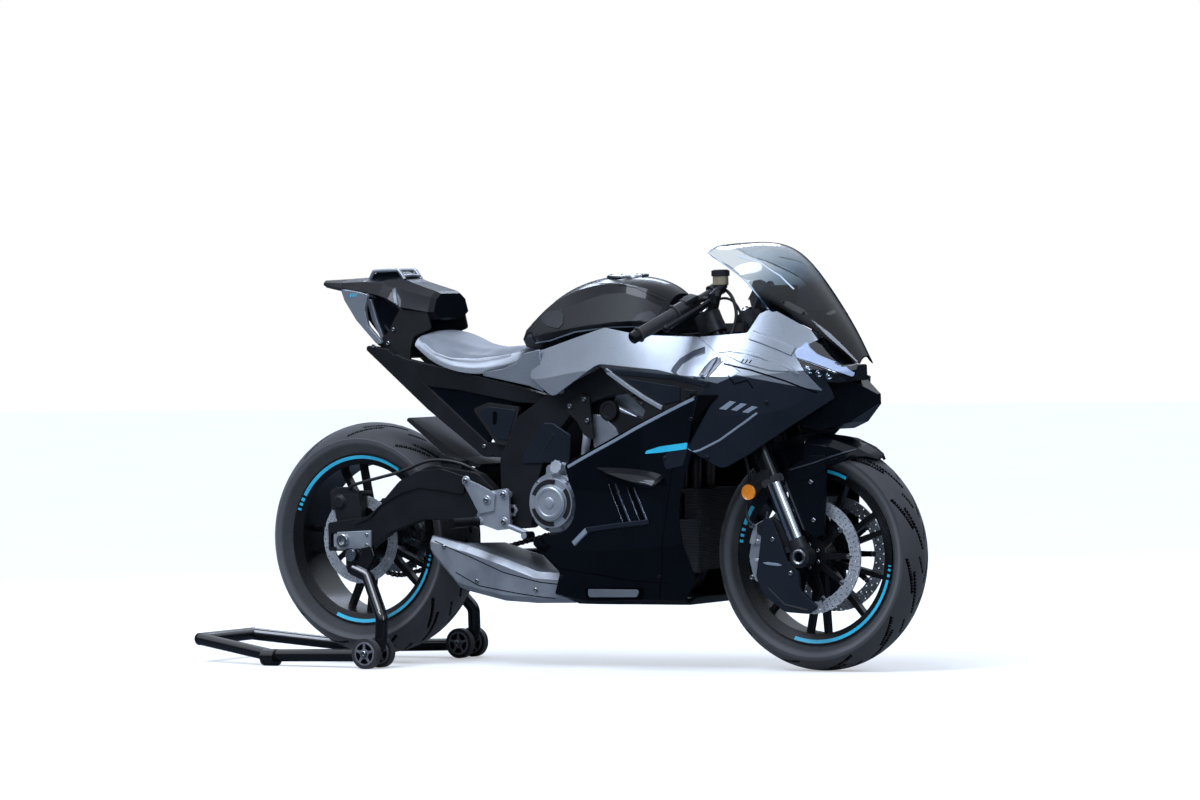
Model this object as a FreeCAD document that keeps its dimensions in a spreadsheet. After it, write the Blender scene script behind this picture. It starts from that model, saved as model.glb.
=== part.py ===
import FreeCAD, Part
import Sketcher
import math
import os
import re

# Sport bike on a rear paddock stand.
# Millimetres. X points forward, Y to the rider's left, Z up, the floor is Z = 0.
# The right side of the bike is the side with negative Y.

SIZES = [
    # name, value
    ("wheelBase", 1400.0),
    ("frontAxleX", 815.0),
    ("frontAxleZ", 300.0),
    ("rearAxleZ", 338.5),
    ("rakeAngle", 23.5),
    ("stemOffset", 29.7),
    ("forkHalfSpacing", 103.0),
    ("rimSeatRadius", 216.0),
    ("rimFlangeRadius", 230.0),
    ("rimFlangeThickness", 7.0),
    ("rimBarrelRadius", 203.0),
    ("frontTyreRadius", 300.0),
    ("frontTyreWidth", 120.0),
    ("fenderGap", 9.0),
    ("frontRimWidth", 89.0),
    ("frontHubRadius", 34.0),
    ("frontHubWidth", 100.0),
    ("rearTyreRadius", 315.0),
    ("rearTyreWidth", 180.0),
    ("rearRimWidth", 140.0),
    ("rearHubRadius", 44.0),
    ("rearHubWidth", 120.0),
    ("spokeThickness", 22.0),
    ("spokeRootWidth", 17.0),
    ("spokeTipWidth", 13.0),
    ("axleRadius", 16.0),
    ("axleBoreRadius", 13.0),
    ("axleRunningGap", 0.05),
    ("frontAxleLength", 250.0),
    ("rearAxleRadius", 12.5),
    ("rearAxleBoreRadius", 9.0),
    ("rearAxleLength", 324.0),
    ("frontDiscRadius", 150.0),
    ("frontDiscBand", 32.0),
    ("frontDiscThickness", 5.0),
    ("frontDiscY", 65.0),
    ("caliperHalfWidth", 34.0),
    ("discRunningGap", 5.0),
    ("rearDiscRadius", 120.0),
    ("rearDiscBand", 30.0),
    ("rearDiscThickness", 5.0),
    ("rearDiscY", 78.0),
    ("sprocketRadius", 98.0),
    ("sprocketThickness", 7.0),
    ("chainY", 106.0),
    ("chainWidth", 16.0),
    ("chainHeight", 16.0),
    ("chainGap", 1.0),
    ("chainRoomGap", 4.0),
    ("frontSprocketRadius", 38.0),
    ("frontSprocketX", 70.0),
    ("frontSprocketZ", 430.0),
    ("forkTubeRadius", 27.0),
    ("forkSliderRadius", 21.5),
    ("forkSealHeight", 500.0),
    ("forkTopHeight", 925.0),
    ("forkFootHeight", 345.0),
    ("forkFootRadius", 24.0),
    ("clampThickness", 26.0),
    ("lowerClampHeight", 715.0),
    ("upperClampHeight", 866.0),
    ("stemRadius", 15.0),
    ("headTubeRadius", 30.0),
    ("steeringGap", 0.05),
    ("headGap", 2.0),
    ("barRadius", 11.0),
    ("gripRadius", 16.5),
    ("barRootX", 574.0),
    ("barRootZ", 991.0),
    ("barEndX", 466.0),
    ("barEndY", 352.0),
    ("barEndZ", 872.0),
    ("gripLength", 125.0),
    ("barBoreRadius", 7.0),
    ("swingarmPivotX", -52.0),
    ("swingarmPivotZ", 420.0),
    ("swingarmInnerY", 118.0),
    ("swingarmThickness", 34.0),
    ("adjusterStep", 4.0),
    ("rearNutRadius", 18.0),
    ("spoolRadius", 9.0),
    ("cradleGap", 0.3),
    ("standTubeRadius", 17.0),
    ("standWheelRadius", 41.0),
    ("standWheelX", -449.0),
    ("standInnerWheelY", 193.0),
    ("standOuterWheelY", 260.0),
    ("standWheelWidth", 20.0),
    ("standFootX", -800.0),
    ("standEndX", -1098.0),
    ("radiatorFrontX", 484.0),
    ("radiatorHalfWidth", 132.0),
    ("panelThickness", 4.0),
    ("tailHoleRadius", 3.3),
    ("fillerRadius", 27.0),
    ("fillerDepth", 40.0),
    ("capRadius", 55.0),
    ("capThickness", 9.0),
]

doc = FreeCAD.newDocument("SportBike")
sheet = doc.addObject("Spreadsheet::Sheet", "Sizes")
for row, (name, size) in enumerate(SIZES, start=1):
    sheet.set(f"A{row}", name)
    sheet.set(f"B{row}", str(size))
    sheet.setAlias(f"B{row}", name)
doc.recompute()

NAMES = {name for name, size in SIZES}
PARTS = []


def vec(x, y, z):
    return FreeCAD.Vector(x, y, z)


def bound(expression):
    # Point each size name of an expression at its cell of the sheet.
    return re.sub(r"[A-Za-z]\w*", lambda word: "Sizes." + word.group(0)
                  if word.group(0) in NAMES else word.group(0), str(expression))


def size(expression):
    # The number that an expression of size names gives now.
    result = sheet.evalExpression(bound(expression))
    return float(getattr(result, "Value", result))


def keep(obj, label):
    obj.Label = label
    PARTS.append(obj)
    return obj


def place(obj, x="0", y="0", z="0", axis=(0, 1, 0), angle=None):
    if angle is not None:
        obj.Placement = FreeCAD.Placement(vec(0, 0, 0), FreeCAD.Rotation(vec(*axis), size(angle)))
        obj.setExpression("Placement.Rotation.Angle", bound(angle))
    for letter, expression in zip("xyz", (x, y, z)):
        obj.setExpression("Placement.Base." + letter, bound(expression))


# Sketches and part design features

def originPlane(body, role):
    return next(f for f in body.Origin.OriginFeatures if f.Role == role)


def outline(body, name, corners, role="XZ_Plane"):
    # corners: rows of (x, y) or (x, y, radius, side). A radius makes the edge that starts there an arc,
    # and side 1 or -1 puts its centre to the left or right of the way to the next corner.
    sketch = body.newObject("Sketcher::SketchObject", name)
    sketch.AttachmentSupport = [(originPlane(body, role), "")]
    sketch.MapMode = "FlatFace"
    spots = [vec(size(c[0]), size(c[1]), 0) for c in corners]
    ends = []
    for i, corner in enumerate(corners):
        a, b = spots[i], spots[(i + 1) % len(corners)]
        if len(corner) == 2:
            sketch.addGeometry(Part.LineSegment(a, b))
            ends.append((1, 2))
            continue
        radius, side = size(corner[2]), corner[3]
        chord = b - a
        left = vec(-chord.y, chord.x, 0).normalize()
        rise = math.sqrt(max(radius ** 2 - (chord.Length / 2) ** 2, 0))
        centre = (a + b) * 0.5 + left * rise * side
        first, last = (a, b) if side > 0 else (b, a)
        start = math.atan2(first.y - centre.y, first.x - centre.x)
        stop = math.atan2(last.y - centre.y, last.x - centre.x)
        circle = Part.Circle(centre, vec(0, 0, 1), radius)
        sketch.addGeometry(Part.ArcOfCircle(circle, start, stop))
        ends.append((1, 2) if side > 0 else (2, 1))
    for i, corner in enumerate(corners):
        j = (i + 1) % len(corners)
        sketch.addConstraint(Sketcher.Constraint("Coincident", i, ends[i][1], j, ends[j][0]))
    for i, corner in enumerate(corners):
        rows = [("DistanceX", corner[0]), ("DistanceY", corner[1])]
        for kind, expression in rows:
            index = sketch.addConstraint(
                Sketcher.Constraint(kind, -1, 1, i, ends[i][0], size(expression)))
            sketch.setExpression(f"Constraints[{index}]", bound(expression))
        if len(corner) > 2:
            index = sketch.addConstraint(Sketcher.Constraint("Radius", i, size(corner[2])))
            sketch.setExpression(f"Constraints[{index}]", bound(corner[2]))
    return sketch


def pad(body, name, corners, length, role="XZ_Plane", midplane=True, back=False):
    feature = body.newObject("PartDesign::Pad", name)
    feature.Profile = outline(body, name + "Outline", corners, role)
    feature.Midplane = midplane
    feature.Reversed = back
    feature.setExpression("Length", bound(length))
    return feature


def turned(body, name, corners, groove=False):
    # Turn a profile of (radius, y) rows about the body's Y axis.
    kind = "PartDesign::Groove" if groove else "PartDesign::Revolution"
    feature = body.newObject(kind, name)
    feature.Profile = outline(body, name + "Profile", corners, "XY_Plane")
    feature.ReferenceAxis = (feature.Profile[0], ["V_Axis"])
    feature.Angle = 360
    return feature


def around(body, name, features, count):
    pattern = body.newObject("PartDesign::PolarPattern", name)
    pattern.Originals = features
    pattern.Axis = (features[0].Profile[0], ["N_Axis"])
    pattern.Angle = 360
    pattern.Occurrences = count
    body.Tip = pattern
    return pattern



# Shapes that neither sketches nor primitives fit

def seated(shape, *labels):
    # The shape without the room that the named neighbours take.
    for part in PARTS:
        if part.Label in labels:
            shape = shape.cut(part.Shape.copy())
    return shape.removeSplitter()


def shaped(label, shape):
    feature = doc.addObject("Part::Feature", label)
    feature.Shape = shape
    return keep(feature, label)


def prism(corners, y1, y2):
    # A side view outline of (x, z) or (x, z, corner radius) rows, as a solid from y1 to y2.
    count = len(corners)
    edges = []
    joints = []
    for i in range(count):
        spot = vec(corners[i][0], 0, corners[i][1])
        if len(corners[i]) == 2:
            joints.append((spot, spot, None))
            continue
        before = (vec(corners[i - 1][0], 0, corners[i - 1][1]) - spot)
        after = (vec(corners[(i + 1) % count][0], 0, corners[(i + 1) % count][1]) - spot)
        half = before.getAngle(after) / 2
        reach = min(corners[i][2] / math.tan(half), before.Length * 0.49, after.Length * 0.49)
        before.normalize()
        after.normalize()
        start, stop = spot + before * reach, spot + after * reach
        middle = (before + after).normalize()
        radius = reach * math.tan(half)
        joints.append((start, stop, spot + middle * (radius / math.sin(half) - radius)))
    for i in range(count):
        start, stop, middle = joints[i]
        if middle is not None:
            edges.append(Part.Arc(start, middle, stop).toShape())
        following = joints[(i + 1) % count][0]
        if (following - stop).Length > 1e-6:
            edges.append(Part.LineSegment(stop, following).toShape())
    face = Part.Face(Part.Wire(edges))
    solid = face.extrude(vec(0, y2 - y1, 0))
    solid.translate(vec(0, y1, 0))
    return solid


def mirrored(shape):
    return shape.mirror(vec(0, 0, 0), vec(0, 1, 0))


def both(shape):
    return Part.makeCompound([shape, mirrored(shape)])


def rod(start, end, radius, bore=0.0):
    axis = end - start
    solid = Part.makeCylinder(radius, axis.Length, start, axis)
    if bore:
        solid = solid.cut(Part.makeCylinder(bore, axis.Length, start, axis))
    return solid


def pipe(points, radius, bend):
    # A round tube along straight runs joined by tangent arcs.
    edges = []
    last = points[0]
    for i in range(1, len(points) - 1):
        before = (points[i - 1] - points[i])
        after = (points[i + 1] - points[i])
        half = before.getAngle(after) / 2
        reach = min(bend / math.tan(half), before.Length * 0.45, after.Length * 0.45)
        turn = reach * math.tan(half)
        before.normalize()
        after.normalize()
        start, stop = points[i] + before * reach, points[i] + after * reach
        middle = points[i] + (before + after).normalize() * (turn / math.sin(half) - turn)
        edges.append(Part.LineSegment(last, start).toShape())
        edges.append(Part.Arc(start, middle, stop).toShape())
        last = stop
    edges.append(Part.LineSegment(last, points[-1]).toShape())
    path = Part.Wire(edges)
    ring = Part.Wire([Part.Circle(points[0], points[1] - points[0], radius).toShape()])
    return path.makePipeShell([ring], True, False)


def polygon(points):
    return Part.makePolygon(list(points) + [points[0]])


def domed(x, low, lowHalf, wide, wideHalf, shoulder, shoulderHalf, top):
    # A cross section, flat below, with straight flanks and an arc over the top.
    corners = [vec(x, -lowHalf, low), vec(x, lowHalf, low), vec(x, wideHalf, wide),
               vec(x, shoulderHalf, shoulder)]
    edges = [Part.LineSegment(corners[i], corners[i + 1]).toShape() for i in range(3)]
    edges.append(Part.Arc(corners[3], vec(x, 0, top), vec(x, -shoulderHalf, shoulder)).toShape())
    edges.append(Part.LineSegment(vec(x, -shoulderHalf, shoulder), vec(x, -wideHalf, wide)).toShape())
    edges.append(Part.LineSegment(vec(x, -wideHalf, wide), corners[0]).toShape())
    return Part.Wire(edges)


def loft(wires, ruled=False):
    return Part.makeLoft(wires, True, ruled)


# Places that several pieces share

frontAxle = vec(size("frontAxleX"), 0, size("frontAxleZ"))
rearAxle = vec(size("frontAxleX - wheelBase"), 0, size("rearAxleZ"))
frontSprocket = vec(size("frontSprocketX"), 0, size("frontSprocketZ"))
rake = math.radians(size("rakeAngle"))
forkWay = vec(-math.sin(rake), 0, math.cos(rake))
stemWay = forkWay
forkAhead = vec(math.cos(rake), 0, math.sin(rake))
stemBase = frontAxle - forkAhead * size("stemOffset")


def onFork(height, y=0.0):
    # The point of the fork's middle line at a height above the floor.
    return frontAxle + forkWay * ((height - frontAxle.z) / forkWay.z) + vec(0, y, 0)


def onStem(height):
    return stemBase + stemWay * ((height - stemBase.z) / stemWay.z)


def besideStem(height, y):
    # The middle of a fork leg in the plane square to the stem through the stem's point at a height.
    return onStem(height) + forkAhead * size("stemOffset") + vec(0, y, 0)


# Wheels: tyre, rim with spokes

def tyre(label, radius, width, rimWidth, x, z):
    body = doc.addObject("PartDesign::Body", label)
    flange = f"{rimWidth} / 2"
    shoulder = f"{radius} - {width} * 0.24"
    widest = f"({radius} + rimFlangeRadius) / 2 - 4"
    seat = "rimSeatRadius"
    corners = [
        (seat, f"-({flange} - rimFlangeThickness)"),
        ("rimFlangeRadius", f"-({flange} - rimFlangeThickness)"),
        (widest, f"-{width} / 2 + 2"),
        (shoulder, f"-{width} / 2", f"{width} * 0.640834", 1),
        (shoulder, f"{width} / 2"),
        (widest, f"{width} / 2 - 2"),
        ("rimFlangeRadius", f"{flange} - rimFlangeThickness"),
        (seat, f"{flange} - rimFlangeThickness"),
    ]
    turned(body, label + "Carcass", corners)
    place(body, x=x, z=z)
    return keep(body, label)


def rim(label, rimWidth, hubRadius, hubWidth, bore, x, z, firstAngle, groups, offsets):
    # groups of spokes go round the hub; offsets are the angles of the spokes within one group.
    body = doc.addObject("PartDesign::Body", label)
    half = f"{rimWidth} / 2"
    turned(body, label + "Barrel", [
        ("rimBarrelRadius", f"-{half} + 10"),
        ("rimFlangeRadius", f"-{half}"),
        ("rimFlangeRadius", f"-{half} + rimFlangeThickness"),
        ("rimSeatRadius", f"-{half} + rimFlangeThickness"),
        ("rimSeatRadius", f"{half} - rimFlangeThickness"),
        ("rimFlangeRadius", f"{half} - rimFlangeThickness"),
        ("rimFlangeRadius", f"{half}"),
        ("rimBarrelRadius", f"{half} - 10"),
    ])
    turned(body, label + "Hub", [
        (bore, f"-{hubWidth} / 2"),
        (hubRadius, f"-{hubWidth} / 2"),
        (f"{hubRadius} + 12", f"-spokeThickness / 2"),
        (f"{hubRadius} + 12", f"spokeThickness / 2"),
        (hubRadius, f"{hubWidth} / 2"),
        (bore, f"{hubWidth} / 2"),
    ])
    spokes = []
    for index, offset in enumerate(offsets):
        angle = firstAngle + offset
        lean = math.radians(angle)
        ex, ez = math.cos(lean), math.sin(lean)
        # The root of a spoke sits a little towards the middle of its group.
        rootLean = math.radians(firstAngle + offset * 0.8)
        rx, rz = math.cos(rootLean), math.sin(rootLean)
        corners = []
        for along, width, side in (("hubRadius", "spokeRootWidth", -1), ("rim", "spokeTipWidth", -1),
                                   ("rim", "spokeTipWidth", 1), ("hubRadius", "spokeRootWidth", 1)):
            reach = "rimBarrelRadius + 6" if along == "rim" else f"{hubRadius} + 4"
            cx, cz = (ex, ez) if along == "rim" else (rx, rz)
            corners.append((f"({reach}) * {cx:.6f} - {side} * {width} / 2 * {ez:.6f}",
                            f"({reach}) * {cz:.6f} + {side} * {width} / 2 * {ex:.6f}"))
        spokes.append(pad(body, f"{label}Spoke{index}", corners, "spokeThickness"))
    doc.recompute()
    around(body, label + "Spokes", spokes, groups)
    place(body, x=x, z=z)
    return keep(body, label)


def wheels():
    rearX = "frontAxleX - wheelBase"
    tyre("front_tyre", "frontTyreRadius", "frontTyreWidth", "frontRimWidth", "frontAxleX", "frontAxleZ")
    tyre("rear_tyre", "rearTyreRadius", "rearTyreWidth", "rearRimWidth", rearX, "rearAxleZ")
    rim("front_rim", "frontRimWidth", "frontHubRadius", "frontHubWidth", "axleRadius + axleRunningGap",
        "frontAxleX", "frontAxleZ", 266.0, 3, (-7.5, 7.5, 42.5, 77.5))
    rim("rear_rim", "rearRimWidth", "rearHubRadius", "rearHubWidth", "rearAxleRadius + axleRunningGap",
        rearX, "rearAxleZ", 254.0, 5, (-9.0, 9.0))


def discs():
    # Friction band and carrier, one each side of the front hub and one at the rear.
    def one(radius, band, thickness, middleY, inner, hub, centre, arms):
        def ring(outside, inside):
            start = vec(0, -thickness / 2, 0)
            way = vec(0, 1, 0)
            return Part.makeCylinder(outside, thickness, start, way).cut(
                Part.makeCylinder(inside, thickness, start, way))
        carrier = ring(hub + 14, inner)
        for i in range(arms):
            arm = Part.makeBox(radius - band - hub - 8, thickness, 16, vec(hub + 10, -thickness / 2, -8))
            arm.rotate(vec(0, 0, 0), vec(0, 1, 0), 360.0 / arms * i)
            carrier = carrier.fuse(arm)
        shape = ring(radius, radius - band).fuse(carrier).removeSplitter()
        shape.translate(centre + vec(0, middleY, 0))
        return shape
    pair = []
    bore = size("axleRadius + axleRunningGap + 2")
    for side in (-1, 1):
        disc = one(size("frontDiscRadius"), size("frontDiscBand"), size("frontDiscThickness"),
                   side * size("frontDiscY"), bore, size("frontHubRadius"), frontAxle, 6)
        boss = rod(frontAxle + vec(0, side * size("frontHubWidth / 2"), 0),
                   frontAxle + vec(0, side * size("frontDiscY - frontDiscThickness / 2"), 0),
                   size("frontHubRadius"), bore)
        pair.append(disc.fuse(boss).removeSplitter())
    shaped("front_discs", Part.makeCompound(pair))
    bore = size("rearAxleRadius + 4")
    rear = one(size("rearDiscRadius"), size("rearDiscBand"), size("rearDiscThickness"),
               -size("rearDiscY"), bore, size("rearHubRadius"), rearAxle, 5)
    boss = rod(rearAxle - vec(0, size("rearHubWidth / 2"), 0),
               rearAxle - vec(0, size("rearDiscY - rearDiscThickness / 2"), 0),
               size("rearHubRadius"), bore)
    shaped("rear_disc", rear.fuse(boss).removeSplitter())


def sprocketLoop(extra, width):
    # The outline round both sprockets, extra outside their radii, as a solid in the chain's plane.
    r1, r2 = size("sprocketRadius") + extra, size("frontSprocketRadius") + extra
    way = frontSprocket - rearAxle
    tilt = math.atan2(way.z, way.x)
    turn = math.acos((r1 - r2) / way.Length)
    spots = []
    for centre, radius, angle in ((rearAxle, r1, turn), (frontSprocket, r2, turn),
                                  (frontSprocket, r2, -turn), (rearAxle, r1, -turn)):
        spots.append(centre + vec(math.cos(tilt + angle), 0, math.sin(tilt + angle)) * radius)
    ahead = frontSprocket + vec(math.cos(tilt), 0, math.sin(tilt)) * r2
    behind = rearAxle - vec(math.cos(tilt), 0, math.sin(tilt)) * r1
    wire = Part.Wire([Part.LineSegment(spots[0], spots[1]).toShape(),
                      Part.Arc(spots[1], ahead, spots[2]).toShape(),
                      Part.LineSegment(spots[2], spots[3]).toShape(),
                      Part.Arc(spots[3], behind, spots[0]).toShape()])
    solid = Part.Face(wire).extrude(vec(0, width, 0))
    solid.translate(vec(0, size("chainY") - width / 2, 0))
    return solid


def chainRoom():
    # The space that the frame leaves free for the chain.
    room = size("chainGap + chainHeight + chainRoomGap")
    return sprocketLoop(room, size("chainWidth + 2 * chainRoomGap"))


def chainDrive():
    # The rear sprocket turns with the wheel; the chain is one closed loop round both sprockets.
    big = size("sprocketRadius")
    y = size("chainY")
    thick = size("sprocketThickness")
    start = rearAxle + vec(0, y - thick / 2, 0)
    body = Part.makeCylinder(big, thick, start, vec(0, 1, 0))
    body = body.cut(Part.makeCylinder(big - 22, thick, start, vec(0, 1, 0)))
    hub = rod(rearAxle + vec(0, size("rearHubWidth / 2"), 0), rearAxle + vec(0, y + thick / 2, 0),
              size("rearHubRadius"), size("rearAxleRadius + axleRunningGap"))
    for i in range(5):
        arm = Part.makeBox(big - 24 - size("rearHubRadius") + 10, thick, 20,
                           vec(size("rearHubRadius") - 6, -thick / 2, -10))
        arm.rotate(vec(0, 0, 0), vec(0, 1, 0), 72.0 * i + 20)
        arm.translate(rearAxle + vec(0, y, 0))
        body = body.fuse(arm)
    shaped("rear_sprocket", body.fuse(hub).removeSplitter())
    gap = size("chainGap")
    loop = sprocketLoop(gap + size("chainHeight"), size("chainWidth"))
    shaped("drive_chain", loop.cut(sprocketLoop(gap, size("chainWidth"))))


def axles():
    y = size("frontAxleLength") / 2
    tube = rod(frontAxle - vec(0, y, 0), frontAxle + vec(0, y, 0), size("axleRadius"), size("axleBoreRadius"))
    shaped("front_axle", tube)
    y = size("rearAxleLength") / 2
    bore = size("rearAxleBoreRadius")
    tube = rod(rearAxle - vec(0, y, 0), rearAxle + vec(0, y, 0), size("rearAxleRadius"), bore)
    face = size("swingarmInnerY + swingarmThickness + adjusterStep")
    for side in (-1, 1):
        nut = rod(rearAxle + vec(0, side * face, 0), rearAxle + vec(0, side * (y - 1), 0),
                  size("rearNutRadius"), bore)
        tube = tube.fuse(nut)
    shaped("rear_axle", tube.removeSplitter())


# Front fork and what is on it

def fork():
    y = size("forkHalfSpacing")
    seal, top, foot = size("forkSealHeight"), size("forkTopHeight"), size("forkFootHeight")
    lugY = size("frontDiscY + caliperHalfWidth")
    tubes, sliders, feet = [], [], []
    for side in (-1, 1):
        upper = rod(onFork(seal, side * y), onFork(top, side * y), size("forkTubeRadius"))
        cap = rod(onFork(top, side * y), onFork(top + 10, side * y), size("forkTubeRadius - 5"))
        tubes.append(upper.fuse(cap).removeSplitter())
        slider = rod(onFork(foot, side * y), onFork(seal, side * y), size("forkSliderRadius"))
        sliders.append(slider)
        shin = rod(onFork(frontAxle.z + 12, side * y), onFork(foot, side * y), size("forkFootRadius"))
        eye = rod(frontAxle + vec(0, side * (y - 20), 0), frontAxle + vec(0, side * (y + 20), 0),
                  size("forkFootRadius + 4"))
        lug = prism([(frontAxle.x - 50, frontAxle.z + 26, 6), (frontAxle.x - 90, frontAxle.z + 40, 6),
                     (frontAxle.x - 130, frontAxle.z + 60, 6), (frontAxle.x - 130, frontAxle.z + 84, 6),
                     (frontAxle.x - 84, frontAxle.z + 104, 6),
                     (frontAxle.x - 30, frontAxle.z + 60, 6), (frontAxle.x - 8, frontAxle.z + 20)],
                    side * lugY, side * (lugY + 14))
        shin = shin.fuse([eye, lug])
        hole = rod(frontAxle - vec(0, y * 2, 0), frontAxle + vec(0, y * 2, 0), size("axleRadius"))
        feet.append(shin.cut(hole).cut(slider).removeSplitter())
    shaped("fork_tubes", Part.makeCompound(tubes))
    shaped("fork_sliders", Part.makeCompound(sliders))
    shaped("fork_feet", Part.makeCompound(feet))


def clamps():
    # Upper and lower fork clamps on the steering stem.
    y = size("forkHalfSpacing")
    thick = size("clampThickness")
    shape = None
    for height in (size("lowerClampHeight"), size("upperClampHeight")):
        stem = onStem(height)
        eyes = [Part.makeCylinder(size("forkTubeRadius + 9"), thick, besideStem(height, side * y), forkWay)
                for side in (-1, 1)]
        middle = Part.makeCylinder(size("stemRadius + 14"), thick, stem, stemWay)
        bridge = Part.makeBox(46, 2 * y, thick, vec(size("stemOffset / 2 - 23"), -y, 0))
        bridge.rotate(vec(0, 0, 0), vec(0, 1, 0), -size("rakeAngle"))
        bridge.translate(stem)
        piece = middle.fuse([bridge] + eyes)
        for side in (-1, 1):
            piece = piece.cut(Part.makeCylinder(size("forkTubeRadius"), 3 * thick,
                                                besideStem(height, side * y) - forkWay * thick, forkWay))
        shape = piece if shape is None else shape.fuse(piece)
    low, high = onStem(size("lowerClampHeight")), onStem(size("upperClampHeight")) + stemWay * thick
    shape = shape.fuse(rod(low, high, size("stemRadius")))
    shaped("fork_clamps", shape.removeSplitter())


def handlebars():
    bars, levers = [], []
    for side in (-1, 1):
        root = vec(size("barRootX"), side * size("forkHalfSpacing + 12"), size("barRootZ"))
        end = vec(size("barEndX"), side * size("barEndY"), size("barEndZ"))
        way = (end - root).normalize()
        bar = rod(root - way * 22, end, size("barRadius"))
        grip = rod(end - way * size("gripLength + 22"), end - way * 22, size("gripRadius"))
        flange = rod(end - way * size("gripLength + 24"), end - way * size("gripLength + 18"),
                     size("gripRadius + 6"))
        weight = rod(end - way * 22, end, size("gripRadius - 2"))
        housing = rod(end - way * size("gripLength + 58"), end - way * size("gripLength + 24"),
                      size("gripRadius + 4"))
        ringFoot = besideStem(size("upperClampHeight"), side * size("forkHalfSpacing"))
        ringFoot = ringFoot + forkWay * size("clampThickness")
        ring = Part.makeCylinder(size("forkTubeRadius + 8"), 30, ringFoot, forkWay)
        riser = loft([polygon([ringFoot + forkWay * 30 + vec(dx, side * dy, -14)
                               for dx, dy in ((-18, -16), (18, -16), (18, 16), (-18, 16))]),
                      polygon([root - way * 4 + vec(dx, side * dy, 0)
                               for dx, dy in ((-13, -13), (13, -13), (13, 13), (-13, 13))])], True)
        collar = rod(root - way * 22, root + way * 14, size("barRadius + 8"))
        shape = bar.fuse([grip, flange, weight, housing, ring, riser, collar])
        shape = shape.cut(Part.makeCylinder(size("forkTubeRadius"), 90, ringFoot - forkWay * 30, forkWay))
        shape = shape.cut(rod(end - way * 30, end + way, size("barBoreRadius")))
        bars.append(shape.removeSplitter())
        # Lever in front of the grip, with its cylinder body and ball end.
        ahead = vec(0.78, side * -0.3, 0.10).normalize()
        pivot = root + way * 62 + ahead * 44
        elbow = root + way * 120 + ahead * 52
        tip = end - way * 42 + ahead * 58
        lever = pipe([pivot, elbow, tip], 6.5, 60)
        lever = lever.fuse([Part.makeSphere(9.5, tip),
                            rod(pivot - vec(0, 0, 12), pivot + vec(0, 0, 12), 15),
                            rod(pivot - way * 46 + ahead * -6 + vec(0, 0, 16),
                                pivot + way * 8 + vec(0, 0, 6), 10.5),
                            rod(pivot, root + way * 55 + ahead * 12, 8)])
        levers.append(lever.cut(bars[-1]).removeSplitter())
    shaped("clip_on_bars", Part.makeCompound(bars))
    shaped("hand_levers", Part.makeCompound(levers))
    # Front brake fluid pot above the right lever.
    foot = vec(592, -114, 1004)
    pot = rod(foot, foot + vec(0, 0, 24), 20).fuse(rod(foot + vec(0, 0, 24), foot + vec(0, 0, 39), 22))
    stalk = rod(vec(605, -160, 973), foot + vec(2, -4, 2), 6)
    shaped("brake_fluid_pot", seated(pot.fuse(stalk), "hand_levers", "clip_on_bars"))


def frontBrakes():
    calipers, ducts = [], []
    disc, half, gap = size("frontDiscY"), size("caliperHalfWidth"), size("discRunningGap")
    room = size("frontDiscThickness") + 2 * gap
    for side in (-1, 1):
        block = prism([(712, 398, 14), (668, 380, 14), (652, 300, 14), (668, 236, 14), (716, 226, 10),
                       (722, 300)], side * (disc - half), side * (disc + half))
        slot = Part.makeCylinder(size("frontDiscRadius") + gap, room,
                                 frontAxle + vec(0, side * disc - room / 2, 0), vec(0, 1, 0))
        calipers.append(block.cut(slot).removeSplitter())
        cover = prism([(712, 402, 8), (734, 400, 10), (756, 352, 20), (780, 290, 12), (812, 262, 10),
                       (816, 214, 20), (868, 172, 8), (840, 154, 30), (770, 158, 40), (706, 204, 30),
                       (686, 250, 12), (700, 330, 12)], side * (disc + half + 14.5), side * (disc + half + 25))
        hole = rod(frontAxle - vec(0, 400, 0), frontAxle + vec(0, 400, 0), size("forkFootRadius + 5"))
        ducts.append(seated(cover.cut(hole), "fork_feet", "fork_sliders"))
    shaped("front_calipers", Part.makeCompound(calipers))
    shaped("brake_ducts", Part.makeCompound(ducts))


def fender():
    # A shell over the front tyre with a fixing ear down each fork leg.
    # Columns: angle up from the front, half width, depth of the flank below the crown.
    table = ((54, 18, 8), (58, 46, 12), (64, 63, 30), (76, 82, 78), (90, 86, 96), (102, 70, 92), (114, 70, 78),
             (125, 70, 56))
    near = size("frontTyreRadius + fenderGap")
    far = near + 5
    stations = []
    for angle, half, drop in table:
        turn = math.radians(angle)
        out = vec(math.cos(turn), 0, math.sin(turn))
        bend = min(22, drop * 0.8)
        wall = [(near - drop, half), (far - drop, half + 4), (far - bend, half * 0.94 + 4), (far - 4, half * 0.8)]
        lining = [(near - bend, half * 0.94), (near - 6, half * 0.72)]
        rows = wall + [(far + 4, 0)] + [(r, -y) for r, y in reversed(wall)]
        rows += [(r, -y) for r, y in lining] + [(near, 0)] + list(reversed(lining))
        stations.append(polygon([frontAxle + out * r + vec(0, y, 0) for r, y in rows]))
    shell = loft(stations, True)
    for side in (-1, 1):
        ear = prism([(835, 560, 4), (878, 560, 4), (880, 500, 8), (872, 356, 8), (842, 350, 8), (806, 372, 8),
                     (772, 440, 6), (752, 520, 4)], side * 84, side * 89)
        shell = shell.fuse(seated(ear, "fork_sliders", "fork_tubes", "fork_feet"))
    shaped("front_fender", shell.removeSplitter())


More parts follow.
